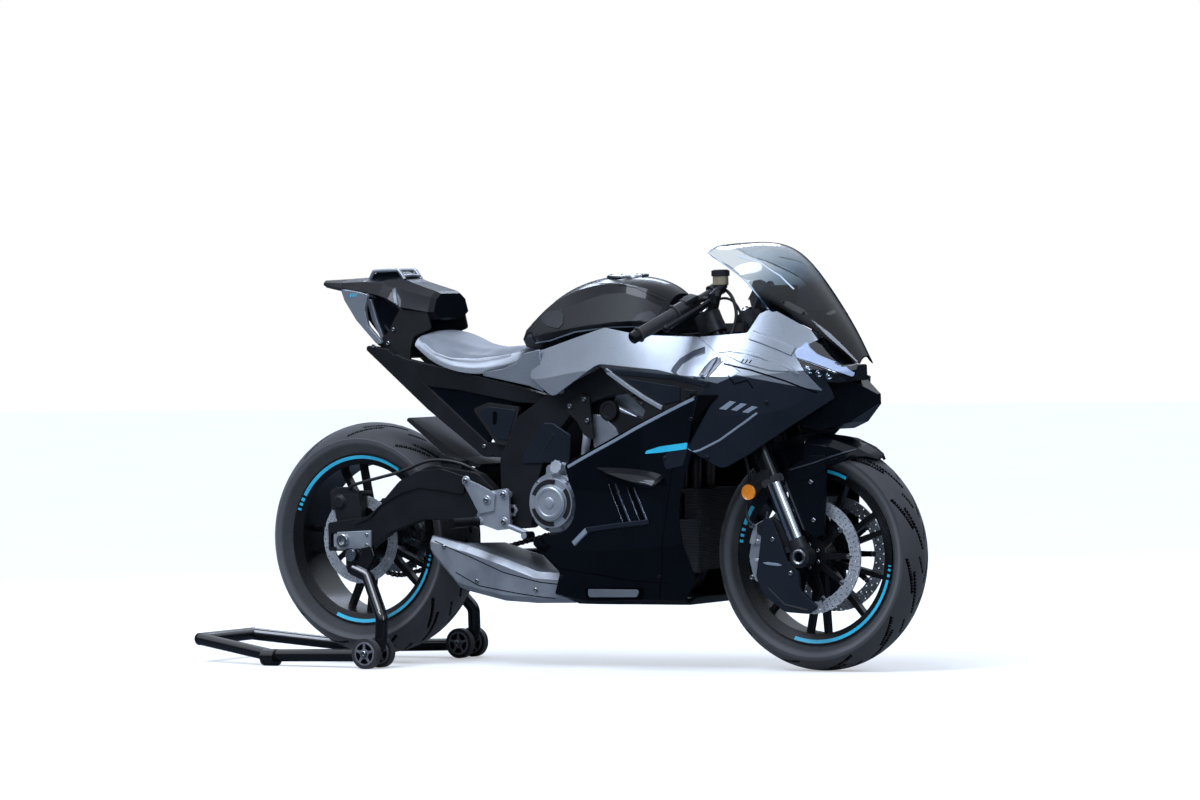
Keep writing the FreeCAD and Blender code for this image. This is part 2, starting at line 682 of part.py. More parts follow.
def reflectors():
    pair = []
    for side in (-1, 1):
        centre = vec(676, side * 137, 468)
        disc = rod(centre - vec(0, side * 4, 0), centre + vec(0, side * 4, 0), 20)
        strap = prism([(666, 464, 3), (668, 484, 3), (716, 524, 3), (736, 524, 3), (736, 504, 3)],
                      side * 126, side * 133)
        pair.append(seated(disc.fuse(strap), "fork_tubes", "fork_sliders"))
    shaped("side_reflectors", Part.makeCompound(pair))


# Frame, subframe, swingarm

def mainFrame():
    # Two cast beams, joined at the head, above the shock and at the swingarm pivot.
    middle = size("(lowerClampHeight + upperClampHeight) / 2")
    inside = 98
    beam = prism([(-85, 372, 20), (-88, 560, 40), (-30, 668, 30), (60, 722, 20), (250, 802, 40),
                  (400, middle + 39.5, 20), (468, middle + 31.5, 10), (468, middle - 32.5, 10),
                  (400, middle - 50.5, 30), (262, 722, 40), (150, 688, 40), (62, 590, 60),
                  (18, 470, 40), (6, 372, 20)], -138, -inside)
    left = mirrored(beam).cut(chainRoom()).fuse([
        prism([(-44, 392, 4), (-2, 392, 4), (-4, 296, 12), (-36, 296, 12)], 118, 138),
        rod(vec(-20, 130, 306), vec(-20, 162, 306), 6)])
    shaped("main_frame", Part.makeCompound([seated(beam, "fuel_tank"), seated(left, "fuel_tank")]))
    low = size("lowerClampHeight + headGap") + size("clampThickness") * math.cos(rake)
    high = size("upperClampHeight - headGap")
    pivot = vec(size("swingarmPivotX"), 0, size("swingarmPivotZ"))
    across = vec(0, inside, 0)
    shape = rod(onStem(low), onStem(high), size("headTubeRadius")).fuse([
        Part.makeBox(48, 2 * inside, 56, vec(420, -inside, middle - 26.5)),
        prism([(440, middle + 31.5), (552, middle + 31.5), (572, middle - 14.5), (440, middle - 18.5)], -36, 36),
        Part.makeBox(40, 80, 110, vec(424, -40, middle - 20.5)),
        rod(pivot - across, pivot + across, 10),
        rod(vec(20, 0, 690) - across, vec(20, 0, 690) + across, 18),
        Part.makeBox(36, 60, 180, vec(2, -30, 690))])
    shape = shape.cut(rod(onStem(low - 60), onStem(high + 60), size("stemRadius + steeringGap")))
    shaped("frame_crossmembers", seated(shape.cut(chainRoom()), "fuel_tank"))


def subframe():
    # Two V shaped side members that carry the seat and tail, joined by two cross tubes.
    diagonal = prism([(-545, 868, 8), (-455, 852, 8), (-140, 598, 10), (-118, 560, 8), (-152, 562, 8),
                      (-330, 690, 20)], -118, -92)
    upper = prism([(-455, 850, 4), (-400, 826, 10), (-190, 782, 10), (52, 724, 8), (56, 700, 8),
                   (-40, 706, 8), (-235, 742, 10), (-330, 752, 6)], -118, -92)
    shape = diagonal.fuse(upper)
    shape = shape.fuse([mirrored(shape), rod(vec(-460, -110, 838), vec(-460, 110, 838), 12),
                        rod(vec(-250, -110, 758), vec(-250, 110, 758), 12),
                        Part.makeBox(80, 50, 150, vec(-500, -25, 836))])
    holes = [Part.makeCylinder(size("tailHoleRadius"), 44, vec(x, 0, 832), vec(0, 0, 1)) for x in (-480, -440)]
    shape = shape.cut(Part.makeCompound(holes))
    # Two front lugs bolt the members to the frame.
    for side in (-1, 1):
        shape = shape.fuse(prism([(-150, 600, 6), (-118, 560, 6), (-78, 560, 6), (-70, 600, 6)],
                                 side * 92, side * 118))
    shaped("rear_subframe", seated(shape, "main_frame", "frame_crossmembers", "rider_seat", "tail_cowl"))
    cover = prism([(-178, 690, 8), (-130, 706, 6), (-28, 694, 8), (-62, 590, 12), (-104, 596, 8)],
                  -130, -118.3)
    slot = prism([(-112, 684, 5), (-98, 682, 5), (-102, 646, 5), (-114, 648, 5)], -131, -118)
    cover = seated(cover.cut(slot), "main_frame")
    # Inside plates that carry the tail cowl on the side members.
    plate = prism([(-512, 868, 6), (-468, 900, 10), (-457, 920, 10), (-430, 962, 4), (-344, 956, 4),
                   (-332, 905, 8), (-352, 898, 8), (-388, 886, 14), (-400, 850, 10), (-401, 812, 6),
                   (-462, 842, 6)], -92, -86)
    plate = seated(plate, "tail_cowl", "rider_seat", "rear_subframe", "tail_fins")
    shaped("subframe_covers", Part.makeCompound([cover, mirrored(cover), plate, mirrored(plate)]))


def swingarm():
    inner = size("swingarmInnerY")
    outer = inner + size("swingarmThickness")
    middle = (inner + outer) / 2
    step = size("adjusterStep")
    arm = prism([(-640, 386, 6), (-500, 404, 60), (-400, 500, 60), (-300, 542, 90), (-150, 520, 60),
                 (-96, 470, 20), (-96, 396, 16), (-180, 392, 60), (-330, 396, 90), (-440, 362, 60),
                 (-508, 316, 10), (-520, 284, 8), (-570, 284, 8), (-582, 310, 6), (-640, 310, 6)],
                -outer, -inner)
    window = prism([(-632, 358, 3), (-540, 362, 3), (-540, 318, 3), (-632, 318, 3)], -outer - 1, -inner + 1)
    arm = arm.cut(window)
    pivot = vec(size("swingarmPivotX"), 0, size("swingarmPivotZ"))
    lug = prism([(-190, 436, 4), (-52, 446, 24), (-26, 420, 24), (-52, 394, 24), (-190, 384, 4)], -92, -56)
    shape = arm.fuse([mirrored(arm), lug, mirrored(lug),
                      Part.makeBox(80, 2 * inner + 20, 50, vec(-200, -inner - 10, 384)),
                      Part.makeBox(80, 180, 60, vec(-200, -90, 400))])
    shape = shape.cut(rod(pivot - vec(0, 200, 0), pivot + vec(0, 200, 0), 10))
    shaped("swingarm", shape.removeSplitter())
    block = prism([(-620, 356, 3), (-550, 356, 3), (-550, 320.5, 3), (-620, 320.5, 3)], -outer - step, -inner + 3)
    bolt = rod(vec(-550, -middle, rearAxle.z), vec(-540, -middle, rearAxle.z), 6)
    block = block.fuse(bolt).cut(rod(rearAxle - vec(0, 300, 0), rearAxle + vec(0, 300, 0),
                                     size("rearAxleRadius")))
    shaped("chain_adjusters", both(block))
    stub = rod(vec(-545, -outer, 300), vec(-545, -outer - 36, 300), size("spoolRadius"))
    rimEnd = rod(vec(-545, -outer - 30, 300), vec(-545, -outer - 36, 300), size("spoolRadius + 7"))
    shaped("swingarm_spools", both(stub.fuse(rimEnd).removeSplitter()))


def rearShock():
    top, foot = vec(6, 0, 690), vec(-150, 0, 450)
    way = (top - foot).normalize()
    shape = rod(foot, top, 12)
    for i in range(7):
        centre = foot + way * (56 + i * 24)
        shape = shape.fuse(Part.makeTorus(28, 6, centre, way))
        shape = shape.fuse(rod(centre - way * 2, centre + way * 2, 28))
    shaped("rear_shock", seated(shape, "frame_crossmembers", "swingarm"))


# Engine, cooling and exhaust

def engine():
    case = prism([(66, 372, 6), (66, 552, 10), (180, 560, 20), (300, 500, 12),
                  (380, 420, 30), (380, 300, 40), (330, 262, 30), (80, 262, 30)], -128, 128)
    rear = prism([(0, 392, 12), (0, 520, 20), (66, 552), (66, 372)], -90, 90)
    barrel = prism([(160, 540), (236, 690, 10), (420, 640, 10), (356, 440)], -118, 118)
    corner = Part.makeBox(70, 40, 130, vec(62, 94, 365))
    case = case.fuse([rear, barrel]).cut(corner)
    y, half = size("chainY"), size("sprocketThickness") / 2
    shaft = rod(frontSprocket + vec(0, 88, 0), frontSprocket + vec(0, y + half, 0), 14)
    wheel = rod(frontSprocket + vec(0, y - half, 0), frontSprocket + vec(0, y + half, 0),
                size("frontSprocketRadius"))
    shaped("engine_block", case.fuse([shaft, wheel]).removeSplitter())
    head = prism([(234, 686), (262, 740, 16), (330, 752, 16), (436, 712, 16), (424, 634)], -94, 94)
    shaped("cylinder_head_cover", seated(head, "engine_block"))
    x, z = 105.0, 442.0
    cover = Part.makeCylinder(78, 50, vec(x, -128, z), vec(0, -1, 0)).fuse(
        [Part.makeCylinder(66, 66, vec(x, -128, z), vec(0, -1, 0)),
         Part.makeCylinder(46, 74, vec(x, -128, z), vec(0, -1, 0)),
         prism([(66, 480, 10), (70, 540, 14), (120, 548, 14), (180, 520, 10), (186, 400, 10),
                (150, 330, 20), (80, 330, 20)], -158, -128),
         Part.makeCylinder(16, 58, vec(110, -128, 522), vec(0.15, -1, 0.25))])
    shaped("clutch_cover", seated(cover, "engine_block", "main_frame"))
    cover = Part.makeCylinder(70, 42, vec(240, 128, 400), vec(0, 1, 0)).fuse(
        [Part.makeCylinder(44, 52, vec(240, 128, 400), vec(0, 1, 0)),
         prism([(166, 340, 16), (166, 480, 16), (300, 480, 16), (314, 340, 16)], 128, 146)])
    guard = prism([(40, 378, 14), (40, 484, 20), (70, 504, 10), (140, 500, 10), (146, 372, 10), (60, 362, 10)],
                  118.5, 140)
    pieces = [seated(cover, "engine_block"), seated(guard, "engine_block", "main_frame")]
    shaped("left_engine_covers", Part.makeCompound(pieces))


def cooling():
    # A radiator core curved round the front wheel, with a tank and a stay at each end.
    front, half = size("radiatorFrontX"), size("radiatorHalfWidth")
    bow, depth, low, high = 34, 28, 262, 474
    outer = Part.Arc(vec(front + bow, -half, low), vec(front, 0, low), vec(front + bow, half, low))
    inner = Part.Arc(vec(front + bow - depth, half, low), vec(front - depth, 0, low),
                     vec(front + bow - depth, -half, low))
    wire = Part.Wire([outer.toShape(), Part.LineSegment(outer.EndPoint, inner.StartPoint).toShape(),
                      inner.toShape(), Part.LineSegment(inner.EndPoint, outer.StartPoint).toShape()])
    shape = Part.Face(wire).extrude(vec(0, 0, high - low))
    for side in (-1, 1):
        shape = shape.fuse([Part.makeBox(40, 16, 220, vec(front, side * half - 8, low - 4)),
                            rod(vec(350, side * 108, 466), vec(front + 12, side * 108, 466), 7)])
        # A closing plate from the core's end to the fairing. Columns: level, half width of the fairing there.
        plate = loft([polygon([vec(496, -half, z), vec(500, -half, z), vec(524, -half * 0.1 - 118, z),
                               vec(520, -half * 0.1 - 118, z)])
                      for z, half in ((262, 155), (320, 182), (400, 198))], True)
        plate = seated(plate, "lower_fairing")
        shape = shape.fuse(plate if side < 0 else mirrored(plate))
    shaped("radiator", seated(shape, "engine_block").removeSplitter())


def exhaust():
    pipes = []
    for y in (-70, 0, 70):
        pipes.append(pipe([vec(398, y, 612), vec(434, y, 560), vec(418, y, 300), vec(396, y * 0.6, 204),
                           vec(250, y * 0.4, 204)], 19, 50))
    # Columns: x, half width, lower and upper level.
    table = ((270, 62, 182, 222), (190, 60, 182, 236), (120, 60, 184, 240))
    collector = loft([polygon([vec(x, -half, low), vec(x, half, low), vec(x, half, high), vec(x, -half, high)])
                      for x, half, low, high in table], True)
    shape = pipes[0].fuse(pipes[1:] + [collector])
    shaped("exhaust_headers", seated(shape, "engine_block"))
    # Under-slung silencer box, wide below the engine and narrow beside the tyre.
    # Columns: x, bottom, top, y of its right and left walls.
    table = ((118, 174, 250, -120, 60), (20, 174, 258, -150, 66), (-80, 180, 292, -156, 66),
             (-196, 204, 326, -152, 60), (-226, 214, 332, -150, -98), (-318, 300, 352, -136, -100))
    sections = []
    for x, low, high, right, left in table:
        inset = min(18, (left - right) * 0.3)
        step = min(16, (high - low) * 0.3)
        sections.append(polygon([vec(x, right + inset, low), vec(x, left - inset, low), vec(x, left, low + step),
                                 vec(x, left, high - step), vec(x, left - inset, high),
                                 vec(x, right + inset, high), vec(x, right, high - step),
                                 vec(x, right, low + step)]))
    shaped("exhaust_silencer", seated(loft(sections, True), "exhaust_headers"))


# Tank, seat and tail

def tank():
    # x, bottom, half width there, widest level, half width, shoulder level, half width, top
    table = ((-60, 852, 40, 872, 56, 896, 40, 908), (0, 845, 70, 880, 92, 938, 56, 956),
             (90, 845, 100, 892, 132, 985, 74, 1008), (200, 856, 120, 905, 158, 1012, 84, 1034),
             (310, 872, 120, 915, 160, 1008, 84, 1030), (406, 884, 90, 910, 118, 968, 56, 986))
    body = loft([domed(*row) for row in table])
    filler = vec(237, 0, 1036)
    bore = Part.makeCylinder(size("fillerRadius"), size("fillerDepth") + 60, filler - vec(0, 0, size("fillerDepth")),
                             vec(0, 0, 1))
    seat = Part.makeCylinder(size("capRadius + 1"), 60, filler - vec(0, 0, 8), vec(0, 0, 1))
    room = Part.makeBox(18, 40, 30, filler + vec(size("capRadius") - 8, -20, -7.5))
    shaped("fuel_tank", body.cut(bore.fuse([seat, room])).removeSplitter())
    cap = Part.makeCylinder(size("capRadius"), size("capThickness"), filler - vec(0, 0, 7.7), vec(0, 0, 1))
    hinge = filler + vec(size("capRadius"), 0, 0)
    knuckle = rod(hinge - vec(0, 14, 0), hinge + vec(0, 14, 0), 4)
    shaped("fuel_cap", cap.fuse(knuckle).removeSplitter())


def seat():
    # x, bottom, half width there, widest level, half width, shoulder level, half width, top
    table = ((-384, 852, 80, 862, 100, 878, 84, 884), (-330, 820, 100, 848, 124, 884, 108, 894),
             (-250, 790, 110, 812, 146, 852, 128, 864), (-180, 782, 110, 800, 148, 838, 126, 848),
             (-110, 788, 92, 802, 118, 838, 96, 848), (-63, 806, 56, 818, 72, 842, 58, 852))
    shaped("rider_seat", loft([domed(*row) for row in table]))


def tail():
    # A blade that rises into a faceted hump. Columns: x, then half width and level of the bottom,
    # the widest place, the shoulder and the top.
    table = ((-726, (10, 1022), (26, 1030), (24, 1036), (14, 1042)),
             (-640, (40, 1008), (66, 1020), (58, 1034), (30, 1044)),
             (-570, (52, 1000), (84, 1012), (62, 1036), (34, 1047)),
             (-500, (58, 978), (94, 998), (66, 1030), (36, 1050)),
             (-466, (60, 940), (98, 988), (70, 1018), (36, 1050)),
             (-424, (62, 926), (100, 965), (74, 1010), (44, 1032)),
             (-340, (64, 928), (94, 950), (78, 990), (52, 1006)),
             (-326, (58, 934), (84, 950), (70, 984), (46, 999)))
    sections = []
    for x, *rows in table:
        right = [vec(x, -half, level) for half, level in rows]
        left = [vec(x, half, level) for half, level in reversed(rows)]
        sections.append(polygon(right + left))
    whole = loft(sections, True)
    lamp = prism([(-732, 1040), (-732, 1016), (-706, 1012), (-706, 1034)], -20, 20)
    shaped("tail_cowl", whole.cut(lamp))
    shaped("rear_lamp", whole.common(lamp))
    fin = prism([(-605, 1017, 4), (-560, 1010, 6), (-516, 1001, 6), (-528, 961, 30), (-519, 918, 30),
                 (-470, 868, 4), (-492, 868, 6), (-556, 932, 14), (-594, 987, 10)], -118, -108)
    for x, z, deep in ((-560, 1003, 40), (-494, 879, 86)):
        fin = fin.fuse(rod(vec(x, -deep, z), vec(x, -112, z), 5))
    shaped("tail_fins", both(seated(fin, "tail_cowl")))


def hugger():
    # A mudguard over the front of the rear tyre, on two ears that stand on the swingarm.
    inner = size("swingarmInnerY")
    shape = prism([(-418, 660, 4), (-410, 668, 4), (-236, 560, 10), (-180, 540, 4), (-186, 532, 4),
                   (-266, 545, 10)], -92, 92)
    for side in (-1, 1):
        shape = shape.fuse(prism([(-290, 572, 4), (-220, 552, 4), (-214, 500), (-270, 500)],
                                 side * 86, side * (inner + 12)))
    shaped("rear_hugger", seated(shape, "swingarm"))


# Bodywork

def skins():
    # Half body sections of the fairing, right side. Columns: x, then rows of (half width, height)
    # from the belly up to the shoulder.
    table = (
        (20, ((96, 176), (132, 196), (176, 330), (182, 480), (172, 640), (150, 770), (128, 850))),
        (150, ((98, 168), (138, 186), (192, 320), (204, 480), (194, 640), (184, 780), (150, 890))),
        (300, ((98, 168), (142, 186), (206, 320), (216, 470), (208, 640), (206, 790), (172, 900))),
        (450, ((92, 168), (138, 186), (206, 330), (220, 480), (222, 640), (226, 780), (176, 885))),
        (600, ((70, 190), (110, 210), (186, 360), (212, 520), (222, 660), (228, 770), (172, 880))),
        (720, ((40, 300), (80, 330), (140, 440), (178, 560), (196, 670), (196, 770), (150, 925))),
        (840, ((20, 480), (50, 500), (90, 560), (120, 630), (140, 700), (148, 780), (112, 905))),
        (960, ((10, 600), (20, 610), (36, 640), (48, 680), (62, 720), (64, 760), (40, 800))),
    )
    thick = size("panelThickness")

    def body(shrink):
        wires = []
        for x, rows in table:
            points = [vec(x, -max(y - shrink, 1), z) for y, z in rows]
            inner = [vec(x, 0, z) for y, z in (rows[-1], rows[0])]
            wires.append(polygon(points + inner))
        return loft(wires)
    outer, inner = body(0), body(thick)
    return outer, inner, outer.cut(inner)


def fairings(outer, inner, skin):
    far = -260

    def panel(corners, *neighbours):
        shape = skin.common(prism(corners, far, -8))
        for neighbour in neighbours:
            shape = shape.cut(neighbour)
        return shape

    def peg(x, z, face):
        # A fixing peg from the frame or engine to the inside of a panel.
        return rod(vec(x, -face, z), vec(x, far, z), 7).common(inner)
    silver = panel([(-10, 790, 4), (110, 720, 30), (263, 806, 60), (462, 788, 60), (640, 752, 4),
                    (700, 778, 4), (560, 872, 20), (380, 880, 20), (268, 900, 20), (60, 846, 6),
                    (-10, 828, 4)])
    side = panel([(690, 772, 2), (892, 727, 2), (822, 826, 10), (886, 866, 6), (741, 952, 4),
                  (700, 880, 10), (556, 872, 4)], silver)
    upper = panel([(630, 758, 4), (580, 720, 10), (545, 584, 10), (640, 530, 30), (706, 566, 10),
                   (812, 640, 10), (914, 708, 6), (900, 760, 2), (705, 800, 2)], silver, side)
    lower = panel([(154, 543, 10), (388, 647, 60), (590, 726, 6), (560, 584, 10), (520, 470, 20),
                   (506, 398, 20), (520, 240, 20), (470, 176, 10), (271, 178, 20), (108, 176, 10),
                   (72, 190, 10), (108, 258, 10), (28, 338, 10), (60, 352, 6), (192, 440, 60)], upper, silver)
    lower = lower.cut(Part.makeCylinder(84, 200, vec(105, -100, 442), vec(0, -1, 0)))
    silver = silver.fuse([peg(112, 736, 138.3), peg(400, 812, 138.3)])
    lower = seated(lower.fuse([peg(336, 440, 128.3), peg(210, 300, 128.3)]), "exhaust_silencer")
    pan = prism([(500, 190), (470, 172), (124, 172), (124, 177), (468, 177), (496, 194)], -118, 118)
    pan = pan.common(outer.fuse(mirrored(outer)))
    lower = seated(lower.fuse([mirrored(lower), pan]), "exhaust_silencer", "exhaust_headers")
    infill = panel([(262, 808, 4), (462, 796, 60), (655, 760, 4), (594, 728, 4), (404, 652, 4), (420, 684, 6),
                    (300, 778, 10)], silver, side, upper, lower)
    shaped("side_infills", both(infill))
    shaped("side_panels", both(silver.removeSplitter()))
    shaped("nose_sides", both(side))
    shaped("upper_fairings", both(upper))
    shaped("lower_fairing", lower)
    wing = loft([polygon([vec(x, y, z) for x, y, z in rows]) for rows in (
        ((240, -200, 540), (460, -200, 528), (468, -200, 500), (330, -200, 506)),
        ((330, -258, 520), (456, -258, 512), (464, -258, 492), (370, -258, 502)))], True)
    shaped("winglets", both(wing.cut(outer)))


def nose(outer, inner):
    # Columns: x, half width, lower edge level and crown level of the screen.
    table = ((546, 98, 1090, 1110), (600, 122, 1064, 1114), (680, 148, 1020, 1113), (750, 142, 940, 1085),
             (840, 104, 893, 985), (900, 70, 844, 905), (956, 36, 794, 815))
    t = size("panelThickness")
    wires = []
    for x, half, edge, top in table:
        wires.append(Part.Wire([
            Part.Arc(vec(x, -half, edge), vec(x, 0, top), vec(x, half, edge)).toShape(),
            Part.LineSegment(vec(x, half, edge), vec(x, half - t, edge)).toShape(),
            Part.Arc(vec(x, half - t, edge), vec(x, 0, top - t), vec(x, -half + t, edge)).toShape(),
            Part.LineSegment(vec(x, -half + t, edge), vec(x, -half, edge)).toShape()]))
    shaped("windscreen", seated(loft(wires), "nose_sides"))

    def wedge(rows):
        # Columns: x, half width, lower and upper level.
        return loft([polygon([vec(x, -half, low), vec(x, half, low), vec(x, half * 0.9, high),
                              vec(x, -half * 0.9, high)]) for x, half, low, high in rows], True)
    lamp = wedge(((800, 190, 800, 880), (860, 170, 752, 862), (930, 110, 748, 810), (958, 60, 752, 790)))
    shaped("headlamp_unit", seated(lamp.common(outer), "nose_sides", "upper_fairings", "windscreen"))
    beak = wedge(((800, 104, 640, 730), (870, 84, 626, 756), (930, 50, 644, 756), (992, 10, 690, 716)))
    shaped("nose_beak", seated(beak, "headlamp_unit", "upper_fairings", "nose_sides"))
    # The stay from the head tube carries the instruments, the lamp and the nose sides.
    stay = prism([(572, 776), (556, 838), (690, 900, 10), (690, 960, 4), (716, 960, 4), (730, 880, 10),
                  (806, 862), (806, 822), (720, 820, 20), (640, 776, 10)], -22, 22)
    dash = prism([(686, 944, 6), (700, 1002, 8), (716, 1000, 6), (706, 940, 6)], -72, 72)
    bar = rod(vec(756, -200, 846), vec(756, 200, 846), 8).common(inner.fuse(mirrored(inner)))
    head = rod(onStem(size("lowerClampHeight")), onStem(size("upperClampHeight")), size("headTubeRadius"))
    shape = stay.fuse([dash, bar]).cut(head)
    shaped("instrument_stay", seated(shape, "main_frame", "frame_crossmembers", "headlamp_unit",
                                     "nose_sides", "windscreen"))


# Foot controls, rear brake, stands

def footControls():
    frameFace, armFace = 138.0, size("swingarmInnerY + swingarmThickness") + 4
    pair = []
    for side in (-1, 1):
        heel = prism([(-198, 514, 6), (-128, 486, 8), (-86, 466, 8), (-92, 420, 8), (-138, 412, 8)],
                     side * (armFace + 8), side * (armFace + 14))
        arm = prism([(-120, 470, 8), (-48, 480, 8), (-44, 372, 10), (-84, 368, 8), (-150, 388, 8),
                     (-150, 408, 8)], side * armFace, side * (armFace + 8))
        stays = [rod(vec(-62, side * frameFace, z), vec(-62, side * armFace, z), 10) for z in (390, 462)]
        peg = rod(vec(-138, side * armFace, 392), vec(-172, side * 252, 390), 11)
        pedal = rod(vec(-66, side * armFace, 384), vec(26, side * 172, 356), 7).fuse(
            rod(vec(26, side * 166, 356), vec(26, side * 206, 356), 8))
        pair.append(heel.fuse([arm, peg, pedal] + stays).removeSplitter())
    shaped("footrests", Part.makeCompound(pair))


def rearBrake():
    y, gap = size("rearDiscY"), size("discRunningGap")
    room = size("rearDiscThickness") + 2 * gap
    block = prism([(-656, 470, 10), (-560, 470, 12), (-556, 420, 8), (-600, 404, 8), (-660, 420, 8)],
                  -y - 30, -y + 22)
    slot = Part.makeCylinder(size("rearDiscRadius") + gap, room, rearAxle - vec(0, y + room / 2, 0), vec(0, 1, 0))
    carrier = prism([(-650, 462, 8), (-570, 462, 8), (-556, 420, 8), (-556, 330, 20), (-606, 320, 20),
                     (-640, 400, 20)], -size("swingarmInnerY") + 0.3 + 3, -y - 16)
    hole = rod(rearAxle - vec(0, 300, 0), rearAxle, size("rearAxleRadius"))
    shaped("rear_caliper", seated(block.cut(slot).fuse(carrier).cut(hole), "chain_adjusters"))


def paddockStand():
    r = size("standTubeRadius")
    wheelX, wheelR = size("standWheelX"), size("standWheelRadius")
    armY = size("(standInnerWheelY + standOuterWheelY) / 2")
    half = size("standWheelWidth") / 2
    cradleY = size("swingarmInnerY + swingarmThickness") + 20
    slot = size("spoolRadius + cradleGap")
    shape = rod(vec(size("standEndX"), -128, 63), vec(size("standEndX"), 128, 63), r)
    for side in (-1, 1):
        upright = pipe([vec(-545, side * cradleY, 262), vec(-500, side * cradleY, 244),
                        vec(-422, side * (armY - 4), 136), vec(-424, side * armY, 70),
                        vec(wheelX, side * armY, wheelR)], r, 36)
        rail = pipe([vec(wheelX + 6, side * armY, 38), vec(-520, side * armY, 34),
                     vec(-800, side * 205, 28), vec(size("standEndX"), side * 120, 63)], r, 80)
        near = side * (cradleY - 9)
        fork = prism([(-568, 318, 3), (-522, 318, 3), (-522, 270, 3), (-530, 252, 3), (-562, 252, 3),
                      (-568, 270, 3)], near, near + side * 12)
        spool = Part.makeCylinder(slot, 60, vec(-545, near - 30, 300), vec(0, 1, 0))
        throat = Part.makeBox(2 * slot, 60, 30, vec(-545 - slot, near - 30, 300))
        foot = rod(vec(size("standFootX") - 22, side * 206, 23), vec(size("standFootX") + 22, side * 210, 23), 23)
        pin = rod(vec(wheelX, side * (size("standInnerWheelY") - half - 2), wheelR),
                  vec(wheelX, side * (size("standOuterWheelY") + half + 2), wheelR), 8)
        shape = shape.fuse([upright, rail, fork, foot, pin]).cut(spool).cut(throat)
    shaped("paddock_stand", shape.removeSplitter())
    for side, label in ((-1, "stand_wheels_right"), (1, "stand_wheels_left")):
        pair = []
        for y in (size("standInnerWheelY"), size("standOuterWheelY")):
            a, b = vec(wheelX, side * (y - half), wheelR), vec(wheelX, side * (y + half), wheelR)
            pair.append(rod(a, b, wheelR, 8 + size("axleRunningGap")))
        shaped(label, Part.makeCompound(pair))


def sideStand():
    # Stowed below the left footrest; it swings down about its eye.
    eye = vec(-20, 149, 306)
    leg = pipe([eye, vec(-110, 156, 298), vec(-250, 166, 292)], 10, 60)
    foot = Part.makeBox(40, 34, 7, vec(-276, 150, 282))
    shape = leg.fuse([foot, rod(vec(-20, 138.4, 306), vec(-20, 160, 306), 15)])
    pin = rod(vec(-20, 120, 306), vec(-20, 170, 306), 6 + size("axleRunningGap"))
    shaped("side_stand", shape.cut(pin).removeSplitter())


wheels()
discs()
chainDrive()
axles()
fork()
clamps()
handlebars()
frontBrakes()
fender()
reflectors()
tank()
mainFrame()
seat()
tail()
subframe()
swingarm()
rearShock()
engine()
exhaust()
hugger()
outer, inner, skin = skins()
fairings(outer, inner, skin)
cooling()
nose(outer, inner)
footControls()
rearBrake()
paddockStand()
sideStand()

doc.recompute()
for obj in doc.Objects:
    if "Invalid" in obj.State or "Error" in obj.State:
        raise RuntimeError(f"{obj.Label} failed: {obj.State}")
for part in PARTS:
    if part.Shape.isNull() or not part.Shape.isValid():
        raise RuntimeError(f"{part.Label} has no valid shape")

os.makedirs("parts", exist_ok=True)
for part in PARTS:
    part.Shape.exportStep(f"parts/{part.Label}.step")
    print(part.Label, len(part.Shape.Solids), round(part.Shape.Volume / 1000), "cm3")
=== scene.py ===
import math

import bmesh
import bpy
from mathutils import Matrix, Vector
from mathutils.bvhtree import BVHTree


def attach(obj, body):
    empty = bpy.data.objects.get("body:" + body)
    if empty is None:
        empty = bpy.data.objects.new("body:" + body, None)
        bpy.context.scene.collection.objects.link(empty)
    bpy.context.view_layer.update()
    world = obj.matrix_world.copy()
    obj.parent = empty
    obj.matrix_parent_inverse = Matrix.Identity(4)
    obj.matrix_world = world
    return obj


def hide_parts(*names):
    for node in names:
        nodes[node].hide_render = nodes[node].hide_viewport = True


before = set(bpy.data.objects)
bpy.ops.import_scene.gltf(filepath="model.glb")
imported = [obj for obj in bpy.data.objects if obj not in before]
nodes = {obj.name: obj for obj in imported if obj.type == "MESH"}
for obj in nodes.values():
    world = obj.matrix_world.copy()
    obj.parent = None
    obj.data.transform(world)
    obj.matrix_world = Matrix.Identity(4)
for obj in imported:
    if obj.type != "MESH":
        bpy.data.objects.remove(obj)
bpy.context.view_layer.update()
print("frame loaded:", len(nodes), "nodes")

bpy.context.scene.view_settings.view_transform = "Standard"


# Material helpers

def linear(code):
    # An sRGB hex value as linear red, green, blue and alpha.
    def channel(value):
        return value / 12.92 if value <= 0.04045 else ((value + 0.055) / 1.055) ** 2.4
    return tuple(channel(int(code[i:i + 2], 16) / 255) for i in (1, 3, 5)) + (1.0,)


def add(tree, kind, settings):
    # One node; a socket among the settings is linked, other values are set on the socket or the node.
    node = tree.nodes.new("ShaderNode" + kind)
    late = []
    for name, value in settings.items():
        if isinstance(name, str) and hasattr(node, name):
            setattr(node, name, value)
        else:
            late.append((name, value))
    for name, value in late:
        if isinstance(value, bpy.types.NodeSocket):
            tree.links.new(value, node.inputs[name])
        else:
            node.inputs[name].default_value = value
    return node


def noise(tree, where, sizeMm, detail=3.0, stretch=None):
    if stretch:
        where = add(tree, "Mapping", {"Vector": where, "Scale": stretch}).outputs[0]
    settings = {"Vector": where, "Scale": 1000.0 / sizeMm, "Detail": detail, "Roughness": 0.55}
    return add(tree, "TexNoise", settings).outputs[0]


def spread(tree, value, low, high, fromLow=0.35, fromHigh=0.65):
    settings = {"Value": value, "From Min": fromLow, "From Max": fromHigh, "To Min": low, "To Max": high}
    return add(tree, "MapRange", settings).outputs[0]


def mixed(tree, share, first, second):
    return add(tree, "Mix", {"data_type": "RGBA", 0: share, 6: first, 7: second}).outputs[2]


